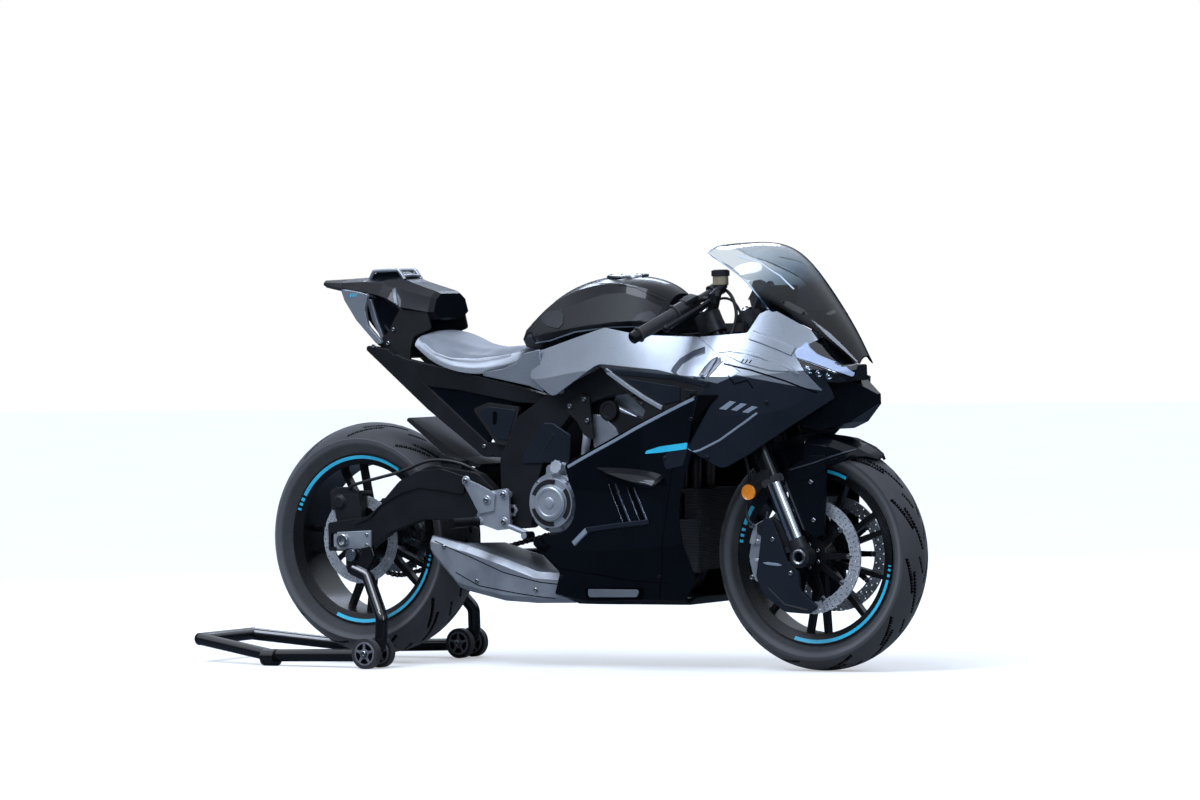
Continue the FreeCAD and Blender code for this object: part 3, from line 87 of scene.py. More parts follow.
def fromAxle(tree, where, centreMm):
    # Distance from a wheel's axle line, in metres.
    centre = tuple(c / 1000 for c in centreMm)
    away = add(tree, "VectorMath", {"operation": "SUBTRACT", 0: where, 1: centre}).outputs[0]
    flat = add(tree, "VectorMath", {"operation": "MULTIPLY", 0: away, 1: (1.0, 0.0, 1.0)}).outputs[0]
    return add(tree, "VectorMath", {"operation": "LENGTH", 0: flat}).outputs[1]


def finish(name, look):
    # Colour patches, grain in roughness and relief, softened edges.
    material = bpy.data.materials.new(name)
    material.use_nodes = True
    tree = material.node_tree
    shader = tree.nodes["Principled BSDF"]
    where = add(tree, "TexCoord", {}).outputs["Object"]
    patches = spread(tree, noise(tree, where, look.get("patchMm", 60)), 0.0, 1.0)
    colour = mixed(tree, patches, linear(look["colour"]), linear(look["tone"]))
    grain = noise(tree, where, look["grainMm"], 4.0, look.get("stretch"))
    if "worn" in look:
        # The rubbed metal shows where an edge is narrower than the bevel.
        soft = add(tree, "Bevel", {"samples": 4, 0: look.get("edgeMm", 1.0) * 0.0012}).outputs[0]
        true = add(tree, "NewGeometry", {}).outputs["Normal"]
        match = add(tree, "VectorMath", {"operation": "DOT_PRODUCT", 0: soft, 1: true}).outputs[1]
        worn = spread(tree, match, look.get("wornShare", 0.6), 0.0, 0.80, 0.97)
        broken = add(tree, "Math", {"operation": "MULTIPLY", 0: worn, 1: grain}).outputs[0]
        colour = mixed(tree, broken, colour, linear(look["worn"]))
    tree.links.new(colour, shader.inputs["Base Color"])
    low, high = look["rough"]
    tree.links.new(spread(tree, grain, low, high), shader.inputs["Roughness"])
    shader.inputs["Metallic"].default_value = look.get("metal", 0.0)
    if look.get("metal", 0.0) < 0.5:
        shader.inputs["IOR"].default_value = look.get("ior", 1.5)
    shader.inputs["Specular IOR Level"].default_value = look.get("specular", 0.5)
    shader.inputs["Coat Weight"].default_value = look.get("coat", 0.0)
    shader.inputs["Coat Roughness"].default_value = look.get("coatRough", 0.04)
    shader.inputs["Sheen Weight"].default_value = look.get("sheen", 0.0)
    edge = add(tree, "Bevel", {"samples": 4, 0: look.get("edgeMm", 1.0) / 1000}).outputs[0]
    depth = look.get("reliefMm", 0.05) / 1000
    relief = {"Height": grain, "Distance": depth, "Strength": 1.0, "Normal": edge}
    tree.links.new(add(tree, "Bump", relief).outputs[0], shader.inputs["Normal"])
    return material, tree, where, shader


# Scales are real sizes in millimetres: grain is the finest texture, patch the cloudiness of the colour.
# Grain under about 1.5 mm would vanish in the picture, so the finest ones are drawn a little coarser.
looks = {
    # Cast wheel, powder coated: deep black with a soft sheen and slight orange peel.
    "castWheelPowderCoat": {"colour": "#08090A", "tone": "#0D0E10", "grainMm": 3.0, "rough": (0.26, 0.36),
                            "reliefMm": 0.03, "edgeMm": 2.5, "coat": 0.15, "coatRough": 0.2,
                            "specular": 0.35},
    # Hard anodised aluminium carrier: dull charcoal metal.
    "hardAnodisedAluminium": {"colour": "#1B1C1F", "tone": "#232427", "grainMm": 1.6, "rough": (0.34, 0.46),
                              "metal": 0.8, "edgeMm": 0.8},
    # Oiled roller chain steel: brownish grey, greasy patches.
    "oiledChainSteel": {"colour": "#5E5850", "tone": "#39342E", "patchMm": 14, "grainMm": 2.0,
                        "rough": (0.3, 0.55), "metal": 0.9, "edgeMm": 0.6},
    # Anodised fork tube: smooth black with long highlights.
    "anodisedForkTube": {"colour": "#0E0F11", "tone": "#16171A", "grainMm": 2.0, "rough": (0.16, 0.24),
                         "metal": 0.5, "reliefMm": 0.01, "edgeMm": 1.2},
    # Hard chrome: mirror bright with fine vertical wiping marks.
    "hardChrome": {"colour": "#BFC5CB", "tone": "#A9B0B8", "grainMm": 6.0, "stretch": (1, 1, 0.15),
                   "rough": (0.06, 0.12), "metal": 1.0, "reliefMm": 0.0, "edgeMm": 0.8},
    # Sand cast aluminium under black enamel: pebbled satin black.
    "blackCastAluminium": {"colour": "#121315", "tone": "#1B1C1F", "grainMm": 1.8, "rough": (0.36, 0.5),
                           "reliefMm": 0.06, "edgeMm": 1.8, "worn": "#3C3E42", "wornShare": 0.5,
                           "specular": 0.4},
    # Die cast aluminium, lacquered: pale warm grey metal with a fine sparkle.
    "dieCastAluminium": {"colour": "#A9AEB4", "tone": "#959BA2", "grainMm": 1.6, "rough": (0.3, 0.42),
                         "metal": 0.6, "reliefMm": 0.05, "edgeMm": 1.6},
    # Milled aluminium: bright, with fine straight tool marks.
    "milledAluminium": {"colour": "#C2C6CA", "tone": "#ADB2B8", "grainMm": 2.5, "stretch": (1, 0.2, 1),
                        "rough": (0.18, 0.3), "metal": 1.0, "reliefMm": 0.02, "edgeMm": 0.8},
    # Zinc plated bolt steel: small bright heads.
    "zincPlatedSteel": {"colour": "#B9BCBE", "tone": "#93979B", "patchMm": 6, "grainMm": 2.0,
                        "rough": (0.2, 0.34), "metal": 1.0, "edgeMm": 0.5},
    # Moulded ABS with spark eroded grain: flat black that catches a dull edge light.
    "grainedAbs": {"colour": "#0F1012", "tone": "#151618", "grainMm": 1.4, "rough": (0.5, 0.66),
                   "reliefMm": 0.06, "edgeMm": 1.4, "specular": 0.35},
    # ABS in black base coat under clear coat: deep wet black.
    "clearCoatedBlackAbs": {"colour": "#02050A", "tone": "#04080F", "patchMm": 120, "grainMm": 4.0,
                            "rough": (0.28, 0.36), "reliefMm": 0.006, "coat": 0.35, "coatRough": 0.03,
                            "edgeMm": 2.0, "specular": 0.1},
    # Metallic silver paint with a satin clear coat: cool grey that turns bright where it faces the sky.
    "satinSilverPaint": {"colour": "#A1A7AE", "tone": "#979DA5", "patchMm": 160, "grainMm": 1.5,
                         "rough": (0.27, 0.36), "metal": 0.7, "reliefMm": 0.012, "edgeMm": 2.5},
    # Metallic graphite paint, satin: slate grey side panels.
    "satinGraphitePaint": {"colour": "#272E37", "tone": "#212831", "patchMm": 180, "grainMm": 1.5,
                           "rough": (0.32, 0.42), "metal": 0.6, "reliefMm": 0.012, "edgeMm": 2.5},
    # Satin black frame paint over cast and welded aluminium.
    "satinFramePaint": {"colour": "#131517", "tone": "#1A1C1F", "patchMm": 80, "grainMm": 2.0,
                        "rough": (0.34, 0.46), "metal": 0.2, "reliefMm": 0.03, "edgeMm": 3.0,
                        "specular": 0.4},
    # Gloss enamel on steel tube: black with sharp highlights and a few rubbed spots.
    "glossTubeEnamel": {"colour": "#08090A", "tone": "#0D0E10", "grainMm": 4.0, "rough": (0.14, 0.22),
                        "coat": 0.5, "edgeMm": 1.5, "worn": "#3A3B3D", "wornShare": 0.4},
    # Bead blasted stainless steel: soft silver with a faint cloud.
    "beadBlastedSteel": {"colour": "#A4A9AF", "tone": "#8F949B", "patchMm": 70, "grainMm": 1.5,
                         "rough": (0.28, 0.4), "metal": 0.65, "reliefMm": 0.03, "edgeMm": 2.0},
    # Heat tinted header steel: straw to blue brown clouds.
    "heatTintedSteel": {"colour": "#6E6257", "tone": "#474B58", "patchMm": 45, "grainMm": 2.0,
                        "rough": (0.28, 0.42), "metal": 0.95},
    # Moulded rubber grip: dull, dark, slightly dusty.
    "mouldedGripRubber": {"colour": "#161617", "tone": "#202021", "grainMm": 1.5, "rough": (0.62, 0.8),
                          "reliefMm": 0.08, "sheen": 0.2},
    # Extruded hose rubber over braid.
    "hoseRubber": {"colour": "#121213", "tone": "#1B1B1D", "grainMm": 2.0, "rough": (0.4, 0.56)},
    # Lacquered spring steel.
    "springLacquer": {"colour": "#77797D", "tone": "#5F6266", "grainMm": 2.0, "rough": (0.25, 0.4),
                      "metal": 0.4, "coat": 0.4},
    # Cast vinyl film in cyan, edge sealed: saturated and slightly glossy.
    "cyanVinylFilm": {"colour": "#2BB5D4", "tone": "#24A6C6", "grainMm": 2.0, "rough": (0.24, 0.34),
                      "coat": 0.4, "reliefMm": 0.01},
    # Dark blue vinyl film for the tank side bands.
    "navyVinylFilm": {"colour": "#14202F", "tone": "#1A2A3C", "grainMm": 2.0, "rough": (0.28, 0.38),
                      "coat": 0.3, "reliefMm": 0.01},
    # Graphite film on the tail's bevelled edge; on the front fender it is a painted highlight along the
    # fold.
    "satinGraphiteFilm": {"colour": "#4A5058", "tone": "#434950", "grainMm": 2.0, "rough": (0.26, 0.34),
                          "metal": 0.5, "reliefMm": 0.01},
    # Moulded knee pad: soft charcoal rubber with a fine stipple.
    "greyPadRubber": {"colour": "#1E2227", "tone": "#191D21", "grainMm": 1.5, "rough": (0.5, 0.62),
                      "reliefMm": 0.08, "edgeMm": 1.5},
    # Flame polished edge of the acrylic screen, drawn pale and opaque: a painted highlight along the rim.
    "polishedAcrylicEdge": {"colour": "#C3D2DE", "tone": "#B5C6D4", "grainMm": 5.0, "rough": (0.08, 0.14),
                            "coat": 0.8, "reliefMm": 0.0},
    # Pale grey vinyl film: thin trim lines; on the brake ducts it is a painted highlight along the fold.
    "greyVinylFilm": {"colour": "#77828D", "tone": "#6C7782", "grainMm": 2.0, "rough": (0.3, 0.4),
                      "reliefMm": 0.01},
    # Natural nylon fluid pot, stained by the fluid: dull amber grey.
    "smokedNylonPot": {"colour": "#8B8268", "tone": "#7A715A", "patchMm": 20, "grainMm": 3.0,
                       "rough": (0.3, 0.42), "coat": 0.2},
    # Open joint between panels: unlit black gap.
    "panelGapShadow": {"colour": "#020305", "tone": "#040508", "grainMm": 3.0, "rough": (0.7, 0.9),
                       "specular": 0.04},
    # Moulded polycarbonate lamp body: dark, wet looking.
    "smokedPolycarbonate": {"colour": "#08090B", "tone": "#0E1013", "grainMm": 5.0, "rough": (0.06, 0.12),
                            "coat": 1.0, "coatRough": 0.02, "reliefMm": 0.01, "edgeMm": 1.0, "ior": 1.58},
    # Vacuum metallised reflector inside the lamp.
    "metallisedReflector": {"colour": "#B9C2CC", "tone": "#8D98A5", "patchMm": 12, "grainMm": 4.0,
                            "rough": (0.08, 0.2), "metal": 1.0},
    # Instrument glass.
    "coatedDisplayGlass": {"colour": "#07090C", "tone": "#0A0D11", "grainMm": 6.0, "rough": (0.05, 0.09),
                           "coat": 1.0, "coatRough": 0.02, "reliefMm": 0.0},
}
made = {name: finish(name, look)[0] for name, look in looks.items()}


def tyreRubber(name, centreMm, edgeMm):
    # Moulded tread compound: dusty charcoal tread, a darker and smoother sidewall with a pale ring of
    # painted sheen.
    look = {"colour": "#232426", "tone": "#2C2D30", "patchMm": 40, "grainMm": 2.2, "rough": (0.62, 0.8),
            "reliefMm": 0.1, "edgeMm": 1.2, "sheen": 0.15}
    material, tree, where, shader = finish(name, look)
    radius = fromAxle(tree, where, centreMm)
    tread = spread(tree, radius, 0.0, 1.0, (edgeMm - 6) / 1000, (edgeMm + 8) / 1000)
    base = shader.inputs["Base Color"].links[0].from_socket
    scuffed = mixed(tree, tread, base, linear("#2E2F31"))
    # A paler ring on the sidewall: a painted sheen, as new rubber shows under hall light.
    ring = spread(tree, radius, 0.0, 1.0, (edgeMm - 22) / 1000, (edgeMm - 14) / 1000)
    clear = spread(tree, radius, 1.0, 0.0, (edgeMm - 8) / 1000, (edgeMm - 2) / 1000)
    band = add(tree, "Math", {"operation": "MULTIPLY", 0: ring, 1: clear}).outputs[0]
    tree.links.new(mixed(tree, band, scuffed, linear("#4A4B4D")), shader.inputs["Base Color"])
    return material


def groundSteel(name, centreMm):
    # Ground stainless brake steel: bright, with rings from grinding and from the pads.
    look = {"colour": "#B9BDC1", "tone": "#A2A7AC", "patchMm": 30, "grainMm": 2.0, "rough": (0.24, 0.34),
            "metal": 0.5, "reliefMm": 0.01, "edgeMm": 0.4}
    material, tree, where, shader = finish(name, look)
    radius = fromAxle(tree, where, centreMm)
    rings = add(tree, "TexNoise", {"noise_dimensions": "1D", "W": radius, "Scale": 900.0, "Detail": 2.0})
    tree.links.new(spread(tree, rings.outputs[0], 0.2, 0.42), shader.inputs["Roughness"])
    return material


def smokedAcrylic():
    # Blow moulded acrylic screen: clear upper edge, then smoke, nearly opaque at the nose.
    look = {"colour": "#30363D", "tone": "#2A2F36", "grainMm": 30.0, "rough": (0.02, 0.04), "reliefMm": 0.0,
            "edgeMm": 0.3, "ior": 1.49}
    material, tree, where, shader = finish("smokedAcrylic", look)
    split = add(tree, "SeparateXYZ", {0: where})
    # The tint grows forwards and downwards along the screen.
    along = {"operation": "MULTIPLY_ADD", 0: split.outputs["X"], 1: -1.05, 2: split.outputs["Z"]}
    height = add(tree, "Math", along).outputs[0]
    tint = add(tree, "ValToRGB", {0: spread(tree, height, 0.0, 1.0, -0.12, 0.36)})
    stops = tint.color_ramp.elements
    stops[0].position, stops[0].color = 0.0, linear("#06080B")
    stops[1].position, stops[1].color = 1.0, linear("#D5DFE8")
    middle = stops.new(0.54)
    middle.color = linear("#0C131C")
    upper = stops.new(0.72)
    upper.color = linear("#71869A")
    tree.links.new(tint.outputs[0], shader.inputs["Base Color"])
    shader.inputs["Transmission Weight"].default_value = 1.0
    return material


def finnedCore():
    # Radiator core: louvred black fins between flat tubes, 2 mm pitch drawn at 4 mm so that it shows.
    look = {"colour": "#0E0F10", "tone": "#17181A", "grainMm": 3.0, "rough": (0.45, 0.6), "metal": 0.5,
            "edgeMm": 0.5}
    material, tree, where, shader = finish("finnedCore", look)
    waves = add(tree, "TexWave", {"bands_direction": "Z", "Vector": where, "Scale": 1000 / 4 / 6.28 * 2})
    relief = {"Height": waves.outputs[1], "Distance": 0.0015, "Strength": 1.0}
    tree.links.new(add(tree, "Bump", relief).outputs[0], shader.inputs["Normal"])
    base = shader.inputs["Base Color"].links[0].from_socket
    tree.links.new(mixed(tree, waves.outputs[1], base, linear("#3B3D40")), shader.inputs["Base Color"])
    return material


def prismaticReflector():
    # Moulded acrylic reflector: orange with small corner prisms, and a painted glow though it is no lamp.
    look = {"colour": "#D98420", "tone": "#C66F12", "patchMm": 8, "grainMm": 3.0, "rough": (0.12, 0.2),
            "coat": 1.0, "edgeMm": 0.6}
    material, tree, where, shader = finish("prismaticReflector", look)
    cells = add(tree, "TexVoronoi", {"Vector": where, "Scale": 1000 / 3.0, "Randomness": 0.1})
    relief = {"Height": cells.outputs[0], "Distance": 0.0008, "Strength": 1.0}
    tree.links.new(add(tree, "Bump", relief).outputs[0], shader.inputs["Normal"])
    # Painted glow: a faint orange emission on the reflector.
    shader.inputs["Emission Color"].default_value = linear("#D98420")
    shader.inputs["Emission Strength"].default_value = 0.1
    return material


def opalLens():
    # Light guide of the running lamp: milky white acrylic, faintly lit.
    look = {"colour": "#9FAFCB", "tone": "#8FA0BF", "grainMm": 4.0, "rough": (0.14, 0.22), "coat": 0.8,
            "edgeMm": 1.0}
    material, _, _, shader = finish("opalLightGuide", look)
    shader.inputs["Emission Color"].default_value = linear("#C9D8F2")
    shader.inputs["Emission Strength"].default_value = 0.1
    return material


def seatCover(name, look, cellMm):
    # Coated seat fabric: embossed cells on the top, smooth on the welt.
    material, tree, where, shader = finish(name, look)
    cells = add(tree, "TexVoronoi", {"Vector": where, "Scale": 1000 / cellMm})
    relief = {"Height": cells.outputs[0], "Distance": 0.0006, "Strength": 0.8}
    tree.links.new(add(tree, "Bump", relief).outputs[0], shader.inputs["Normal"])
    return material


frontCentre, rearCentre = (815.0, 0.0, 300.0), (-585.0, 0.0, 338.5)
made["frontTyreRubber"] = tyreRubber("frontTyreRubber", frontCentre, 268)
made["rearTyreRubber"] = tyreRubber("rearTyreRubber", rearCentre, 278)
made["frontGroundSteel"] = groundSteel("frontGroundSteel", frontCentre)
made["rearGroundSteel"] = groundSteel("rearGroundSteel", rearCentre)
made["smokedAcrylic"] = smokedAcrylic()
made["finnedCore"] = finnedCore()
made["prismaticReflector"] = prismaticReflector()
made["opalLightGuide"] = opalLens()
# Light grey coated seat fabric: matt top with small embossed cells.
made["embossedSeatVinyl"] = seatCover("embossedSeatVinyl", {
    "colour": "#6F757D", "tone": "#656B73", "patchMm": 50, "grainMm": 1.5, "rough": (0.5, 0.64),
    "sheen": 0.3, "edgeMm": 1.0}, 4.0)
# Near white smooth vinyl for the seat's side band.
made["smoothSeatVinyl"] = seatCover("smoothSeatVinyl", {
    "colour": "#B9BDC3", "tone": "#AEB3B9", "patchMm": 70, "grainMm": 1.5, "rough": (0.36, 0.5),
    "sheen": 0.2, "edgeMm": 1.0}, 2.0)

# The material of each CAD node that stays in sight.
nodeFinish = {
    "frontTyreRubber": ("front_tyre",),
    "rearTyreRubber": ("rear_tyre",),
    "castWheelPowderCoat": ("front_rim", "rear_rim"),
    "frontGroundSteel": ("front_discs",),
    "rearGroundSteel": ("rear_disc",),
    "zincPlatedSteel": ("rear_sprocket",),
    "oiledChainSteel": ("drive_chain",),
    "milledAluminium": ("front_axle", "rear_axle", "fuel_cap", "swingarm_spools"),
    "anodisedForkTube": ("fork_tubes",),
    "hardChrome": ("fork_sliders",),
    "blackCastAluminium": ("fork_feet", "clip_on_bars", "engine_block", "rear_caliper"),
    "satinFramePaint": (
        "fork_clamps", "main_frame", "rear_subframe", "swingarm", "side_stand", "frame_crossmembers"),
    "hardAnodisedAluminium": ("hand_levers",),
    "grainedAbs": (
        "brake_fluid_pot", "subframe_covers", "rear_hugger", "instrument_stay", "side_infills"),
    "dieCastAluminium": (
        "front_calipers", "chain_adjusters", "cylinder_head_cover", "clutch_cover",
        "left_engine_covers", "footrests"),
    "satinGraphitePaint": ("brake_ducts", "upper_fairings"),
    "clearCoatedBlackAbs": (
        "front_fender", "fuel_tank", "tail_cowl", "lower_fairing", "winglets", "nose_beak"),
    "prismaticReflector": ("side_reflectors",),
    "embossedSeatVinyl": ("rider_seat",),
    "smokedPolycarbonate": ("rear_lamp", "headlamp_unit"),
    "satinSilverPaint": ("tail_fins", "side_panels", "nose_sides"),
    "springLacquer": ("rear_shock",),
    "finnedCore": ("radiator",),
    "heatTintedSteel": ("exhaust_headers",),
    "beadBlastedSteel": ("exhaust_silencer",),
    "smokedAcrylic": ("windscreen",),
    "glossTubeEnamel": ("paddock_stand",),
    "mouldedGripRubber": ("stand_wheels_right", "stand_wheels_left"),
}
for materialName, nodeNames in nodeFinish.items():
    for nodeName in nodeNames:
        mesh = nodes[nodeName].data
        if not mesh.materials:
            mesh.materials.append(made[materialName])
        for index in range(len(mesh.materials)):
            mesh.materials[index] = made[materialName]
print("materials made:", len(made))


# Mesh helpers; shapes are written in millimetres and shown in metres

def inMetres(point):
    return Vector(point) * 0.001


def shown(name, shape, material, body, instead=(), sharp=35.0, edgeMm=0.0):
    bmesh.ops.recalc_face_normals(shape, faces=shape.faces)
    mesh = bpy.data.meshes.new(name)
    shape.to_mesh(mesh)
    shape.free()
    mesh.materials.append(made[material])
    mesh.polygons.foreach_set("use_smooth", [True] * len(mesh.polygons))
    mesh.set_sharp_from_angle(angle=math.radians(sharp))
    obj = bpy.data.objects.new(name, mesh)
    bpy.context.scene.collection.objects.link(obj)
    if edgeMm:
        bevel = obj.modifiers.new("Edge", "BEVEL")
        bevel.width, bevel.segments, bevel.limit_method = edgeMm / 1000, 2, "ANGLE"
        bevel.angle_limit = math.radians(40)
    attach(obj, body)
    if instead:
        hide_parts(*instead)
    return obj


def axes(way):
    # Two directions across way.
    way = Vector(way).normalized()
    across = way.cross(Vector((0, 0, 1)) if abs(way.z) < 0.9 else Vector((1, 0, 0))).normalized()
    return across, way.cross(across)


def lathe(shape, profile, base, way, steps=48, start=0.0, end=360.0):
    # profile holds (radius, distance along way) from base; a part turn leaves an open band.
    base, way = Vector(base), Vector(way).normalized()
    across, up = axes(way)
    closed = abs(end - start) >= 359.9
    rings = []
    for radius, along in profile:
        if radius < 1e-6:
            rings.append([shape.verts.new(inMetres(base + way * along))])
            continue
        ring = []
        for i in range(steps if closed else steps + 1):
            turn = math.radians(start + (end - start) * i / steps)
            spot = base + way * along + (across * math.cos(turn) + up * math.sin(turn)) * radius
            ring.append(shape.verts.new(inMetres(spot)))
        rings.append(ring)
    for first, second in zip(rings, rings[1:]):
        for i in range(steps):
            corners = [first[i % len(first)], first[(i + 1) % len(first)],
                       second[(i + 1) % len(second)], second[i % len(second)]]
            unique = list(dict.fromkeys(corners))
            if len(unique) > 2:
                shape.faces.new(unique)
    return shape


def rod(shape, start, end, radius, steps=24, chamfer=1.0):
    start, end = Vector(start), Vector(end)
    length = (end - start).length
    profile = [(0, 0), (radius - chamfer, 0), (radius, chamfer), (radius, length - chamfer),
               (radius - chamfer, length), (0, length)]
    return lathe(shape, profile, start, end - start, steps)


def bolt(shape, centre, way, radius, height):
    # Socket head with a chamfer and a recess.
    profile = [(0, height * 0.4), (radius * 0.5, height * 0.4), (radius * 0.5, height),
               (radius * 0.8, height), (radius, height * 0.75), (radius, 0)]
    return lathe(shape, profile, centre, way, 12)


def rounded(corners, steps=5):
    # Corners are (u, v) or (u, v, radius).
    points = []
    count = len(corners)
    for i, corner in enumerate(corners):
        here = Vector(corner[:2])
        radius = corner[2] if len(corner) > 2 else 0
        if not radius:
            points.append(here)
            continue
        before = (Vector(corners[i - 1][:2]) - here)
        after = (Vector(corners[(i + 1) % count][:2]) - here)
        half = before.angle(after) / 2
        reach = min(radius / math.tan(half), before.length * 0.49, after.length * 0.49)
        a, b = here + before.normalized() * reach, here + after.normalized() * reach
        for step in range(steps + 1):
            t = step / steps
            points.append(a * (1 - t) ** 2 + here * 2 * t * (1 - t) + b * t ** 2)
    return points


def slab(shape, corners, low, high, place=None):
    # A flat plate: outline in X and Z, thickness from Y low to high, or in place's own axes.
    points = rounded(corners)
    place = place or Matrix(((1, 0, 0, 0), (0, 0, 1, 0), (0, 1, 0, 0), (0, 0, 0, 1)))
    rings = [[shape.verts.new(inMetres(place @ Vector((p.x, p.y, level)))) for p in points]
             for level in (low, high)]
    for ring in rings:
        shape.faces.new(ring)
    for i in range(len(points)):
        j = (i + 1) % len(points)
        shape.faces.new([rings[0][i], rings[0][j], rings[1][j], rings[1][i]])
    return shape


def around(count, reach, shift=0.0):
    # Places on a circle as pairs from its centre; with two radii they take turns.
    radii = reach if isinstance(reach, tuple) else (reach,)
    turns = [2 * math.pi * (k + shift) / count for k in range(count)]
    return [(math.cos(turn) * radii[k % len(radii)], math.sin(turn) * radii[k % len(radii)])
            for k, turn in enumerate(turns)]


def sidePlate(shape, corners, faces, side):
    # A flat plate on one side, between two distances from the middle plane.
    return slab(shape, corners, side * faces[0], side * faces[1])


def boarded(origin, right, up):
    # Axes of a tilted plate: u along right, v along up, thickness across both.
    right, up = Vector(right).normalized(), Vector(up).normalized()
    out = right.cross(up).normalized()
    up = out.cross(right)
    turn = Matrix((right, up, out)).transposed().to_4x4()
    turn.translation = Vector(origin)
    return turn


def hose(name, points, radius, material, body):
    # A hose or cable clipped at both ends, as a NURBS line with a round section.
    curve = bpy.data.curves.new(name, "CURVE")
    curve.dimensions = "3D"
    curve.bevel_depth, curve.bevel_resolution, curve.resolution_u = radius / 1000, 3, 8
    curve.use_fill_caps = True
    line = curve.splines.new("NURBS")
    line.points.add(len(points) - 1)
    for spot, point in zip(line.points, points):
        spot.co = (*inMetres(point), 1.0)
    line.order_u, line.use_endpoint_u = 3, True
    curve.materials.append(made[material])
    obj = bpy.data.objects.new(name, curve)
    bpy.context.scene.collection.objects.link(obj)
    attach(obj, body)
    return obj


skinTrees = {}
# Trim is seated from the side: its points lie reachMm from the middle plane, its rays start further out.
reachMm, rayMm = 400, 600
# The edges of bands and patches reach this far below the surface that they lie on.
skirtMm, patchSkirtMm = 0.6, 0.8
sides = ((-1, "right"), (1, "left"))


def skinOf(names):
    # The surface of some nodes, to lay trim on.
    if names not in skinTrees:
        points, faces = [], []
        for nodeName in names:
            start = len(points)
            mesh = nodes[nodeName].data
            points += [v.co.copy() for v in mesh.vertices]
            faces += [[start + i for i in p.vertices] for p in mesh.polygons]
        skinTrees[names] = BVHTree.FromPolygons(points, faces)
    return skinTrees[names]


def onSide(names, x, z, side, lift=0.0):
    # Where a line across the object first meets the surface from one side, moved lift outwards, in metres.
    way = Vector((0, -side, 0))
    start = inMetres((x, side * reachMm, z))
    spot = skinOf(names).ray_cast(start - way * (rayMm / 1000), way)[0]
    if spot is None:
        spot = skinOf(names).find_nearest(start)[0]
    return spot - way * (lift / 1000)


def strip(shape, names, line, width, thick, side=-1, lift=0.2, stepMm=6.0, taper=False):
    # A raised band along a line of (x, z) corners, laid on the surface seen from the side.
    points = []
    for (x0, z0), (x1, z1) in zip(line, line[1:]):
        length = math.hypot(x1 - x0, z1 - z0)
        count = max(1, int(length / stepMm))
        points += [(x0 + (x1 - x0) * i / count, z0 + (z1 - z0) * i / count) for i in range(count)]
    points.append(line[-1])
    rows = []
    for i, (x, z) in enumerate(points):
        x0, z0 = points[max(0, i - 1)]
        x1, z1 = points[min(len(points) - 1, i + 1)]
        length = math.hypot(x1 - x0, z1 - z0) or 1.0
        ux, uz = -(z1 - z0) / length, (x1 - x0) / length
        share = i / (len(points) - 1)
        half = width / 2 * (min(1, 4 * min(share, 1 - share) + 0.15) if taper else 1)
        row = []
        spans = max(1, int(width / 4))
        inner = [(half * (1.5 * k / spans - 0.75), thick) for k in range(spans + 1)]
        for offset, height in ((-half, -skirtMm), *inner, (half, -skirtMm)):
            spot = onSide(names, x + ux * offset, z + uz * offset, side, lift + height)
            row.append(shape.verts.new(spot))
        rows.append(row)
    for first, second in zip(rows, rows[1:]):
        for i in range(len(first) - 1):
            shape.faces.new([first[i], first[i + 1], second[i + 1], second[i]])
    shape.faces.new(rows[0])
    shape.faces.new(rows[-1])
    return shape


def patch(shape, names, corners, thick, side=-1, stepMm=9.0, lift=0.2):
    # A filled panel of some thickness, laid on the surface seen from the side.
    flat = bmesh.new()
    flat.faces.new([flat.verts.new((p.x, 0, p.y)) for p in rounded(corners)])
    bmesh.ops.triangulate(flat, faces=flat.faces[:])
    for _ in range(7):
        long = [e for e in flat.edges if e.calc_length() > stepMm]
        if not long:
            break
        bmesh.ops.subdivide_edges(flat, edges=long, cuts=1)
        bmesh.ops.triangulate(flat, faces=flat.faces[:])
    way = Vector((0, -side, 0))
    tops = {v: shape.verts.new(onSide(names, v.co.x, v.co.z, side, lift + thick)) for v in flat.verts}
    for face in flat.faces:
        shape.faces.new([tops[v] for v in face.verts])
    lows = {}
    for edge in flat.edges:
        if len(edge.link_faces) != 1:
            continue
        for v in edge.verts:
            if v not in lows:
                lows[v] = shape.verts.new(tops[v].co + way * ((thick + patchSkirtMm) / 1000))
        a, b = edge.verts
        shape.faces.new([tops[a], tops[b], lows[b], lows[a]])
    flat.free()
    return shape


# Camera, floor and lamps

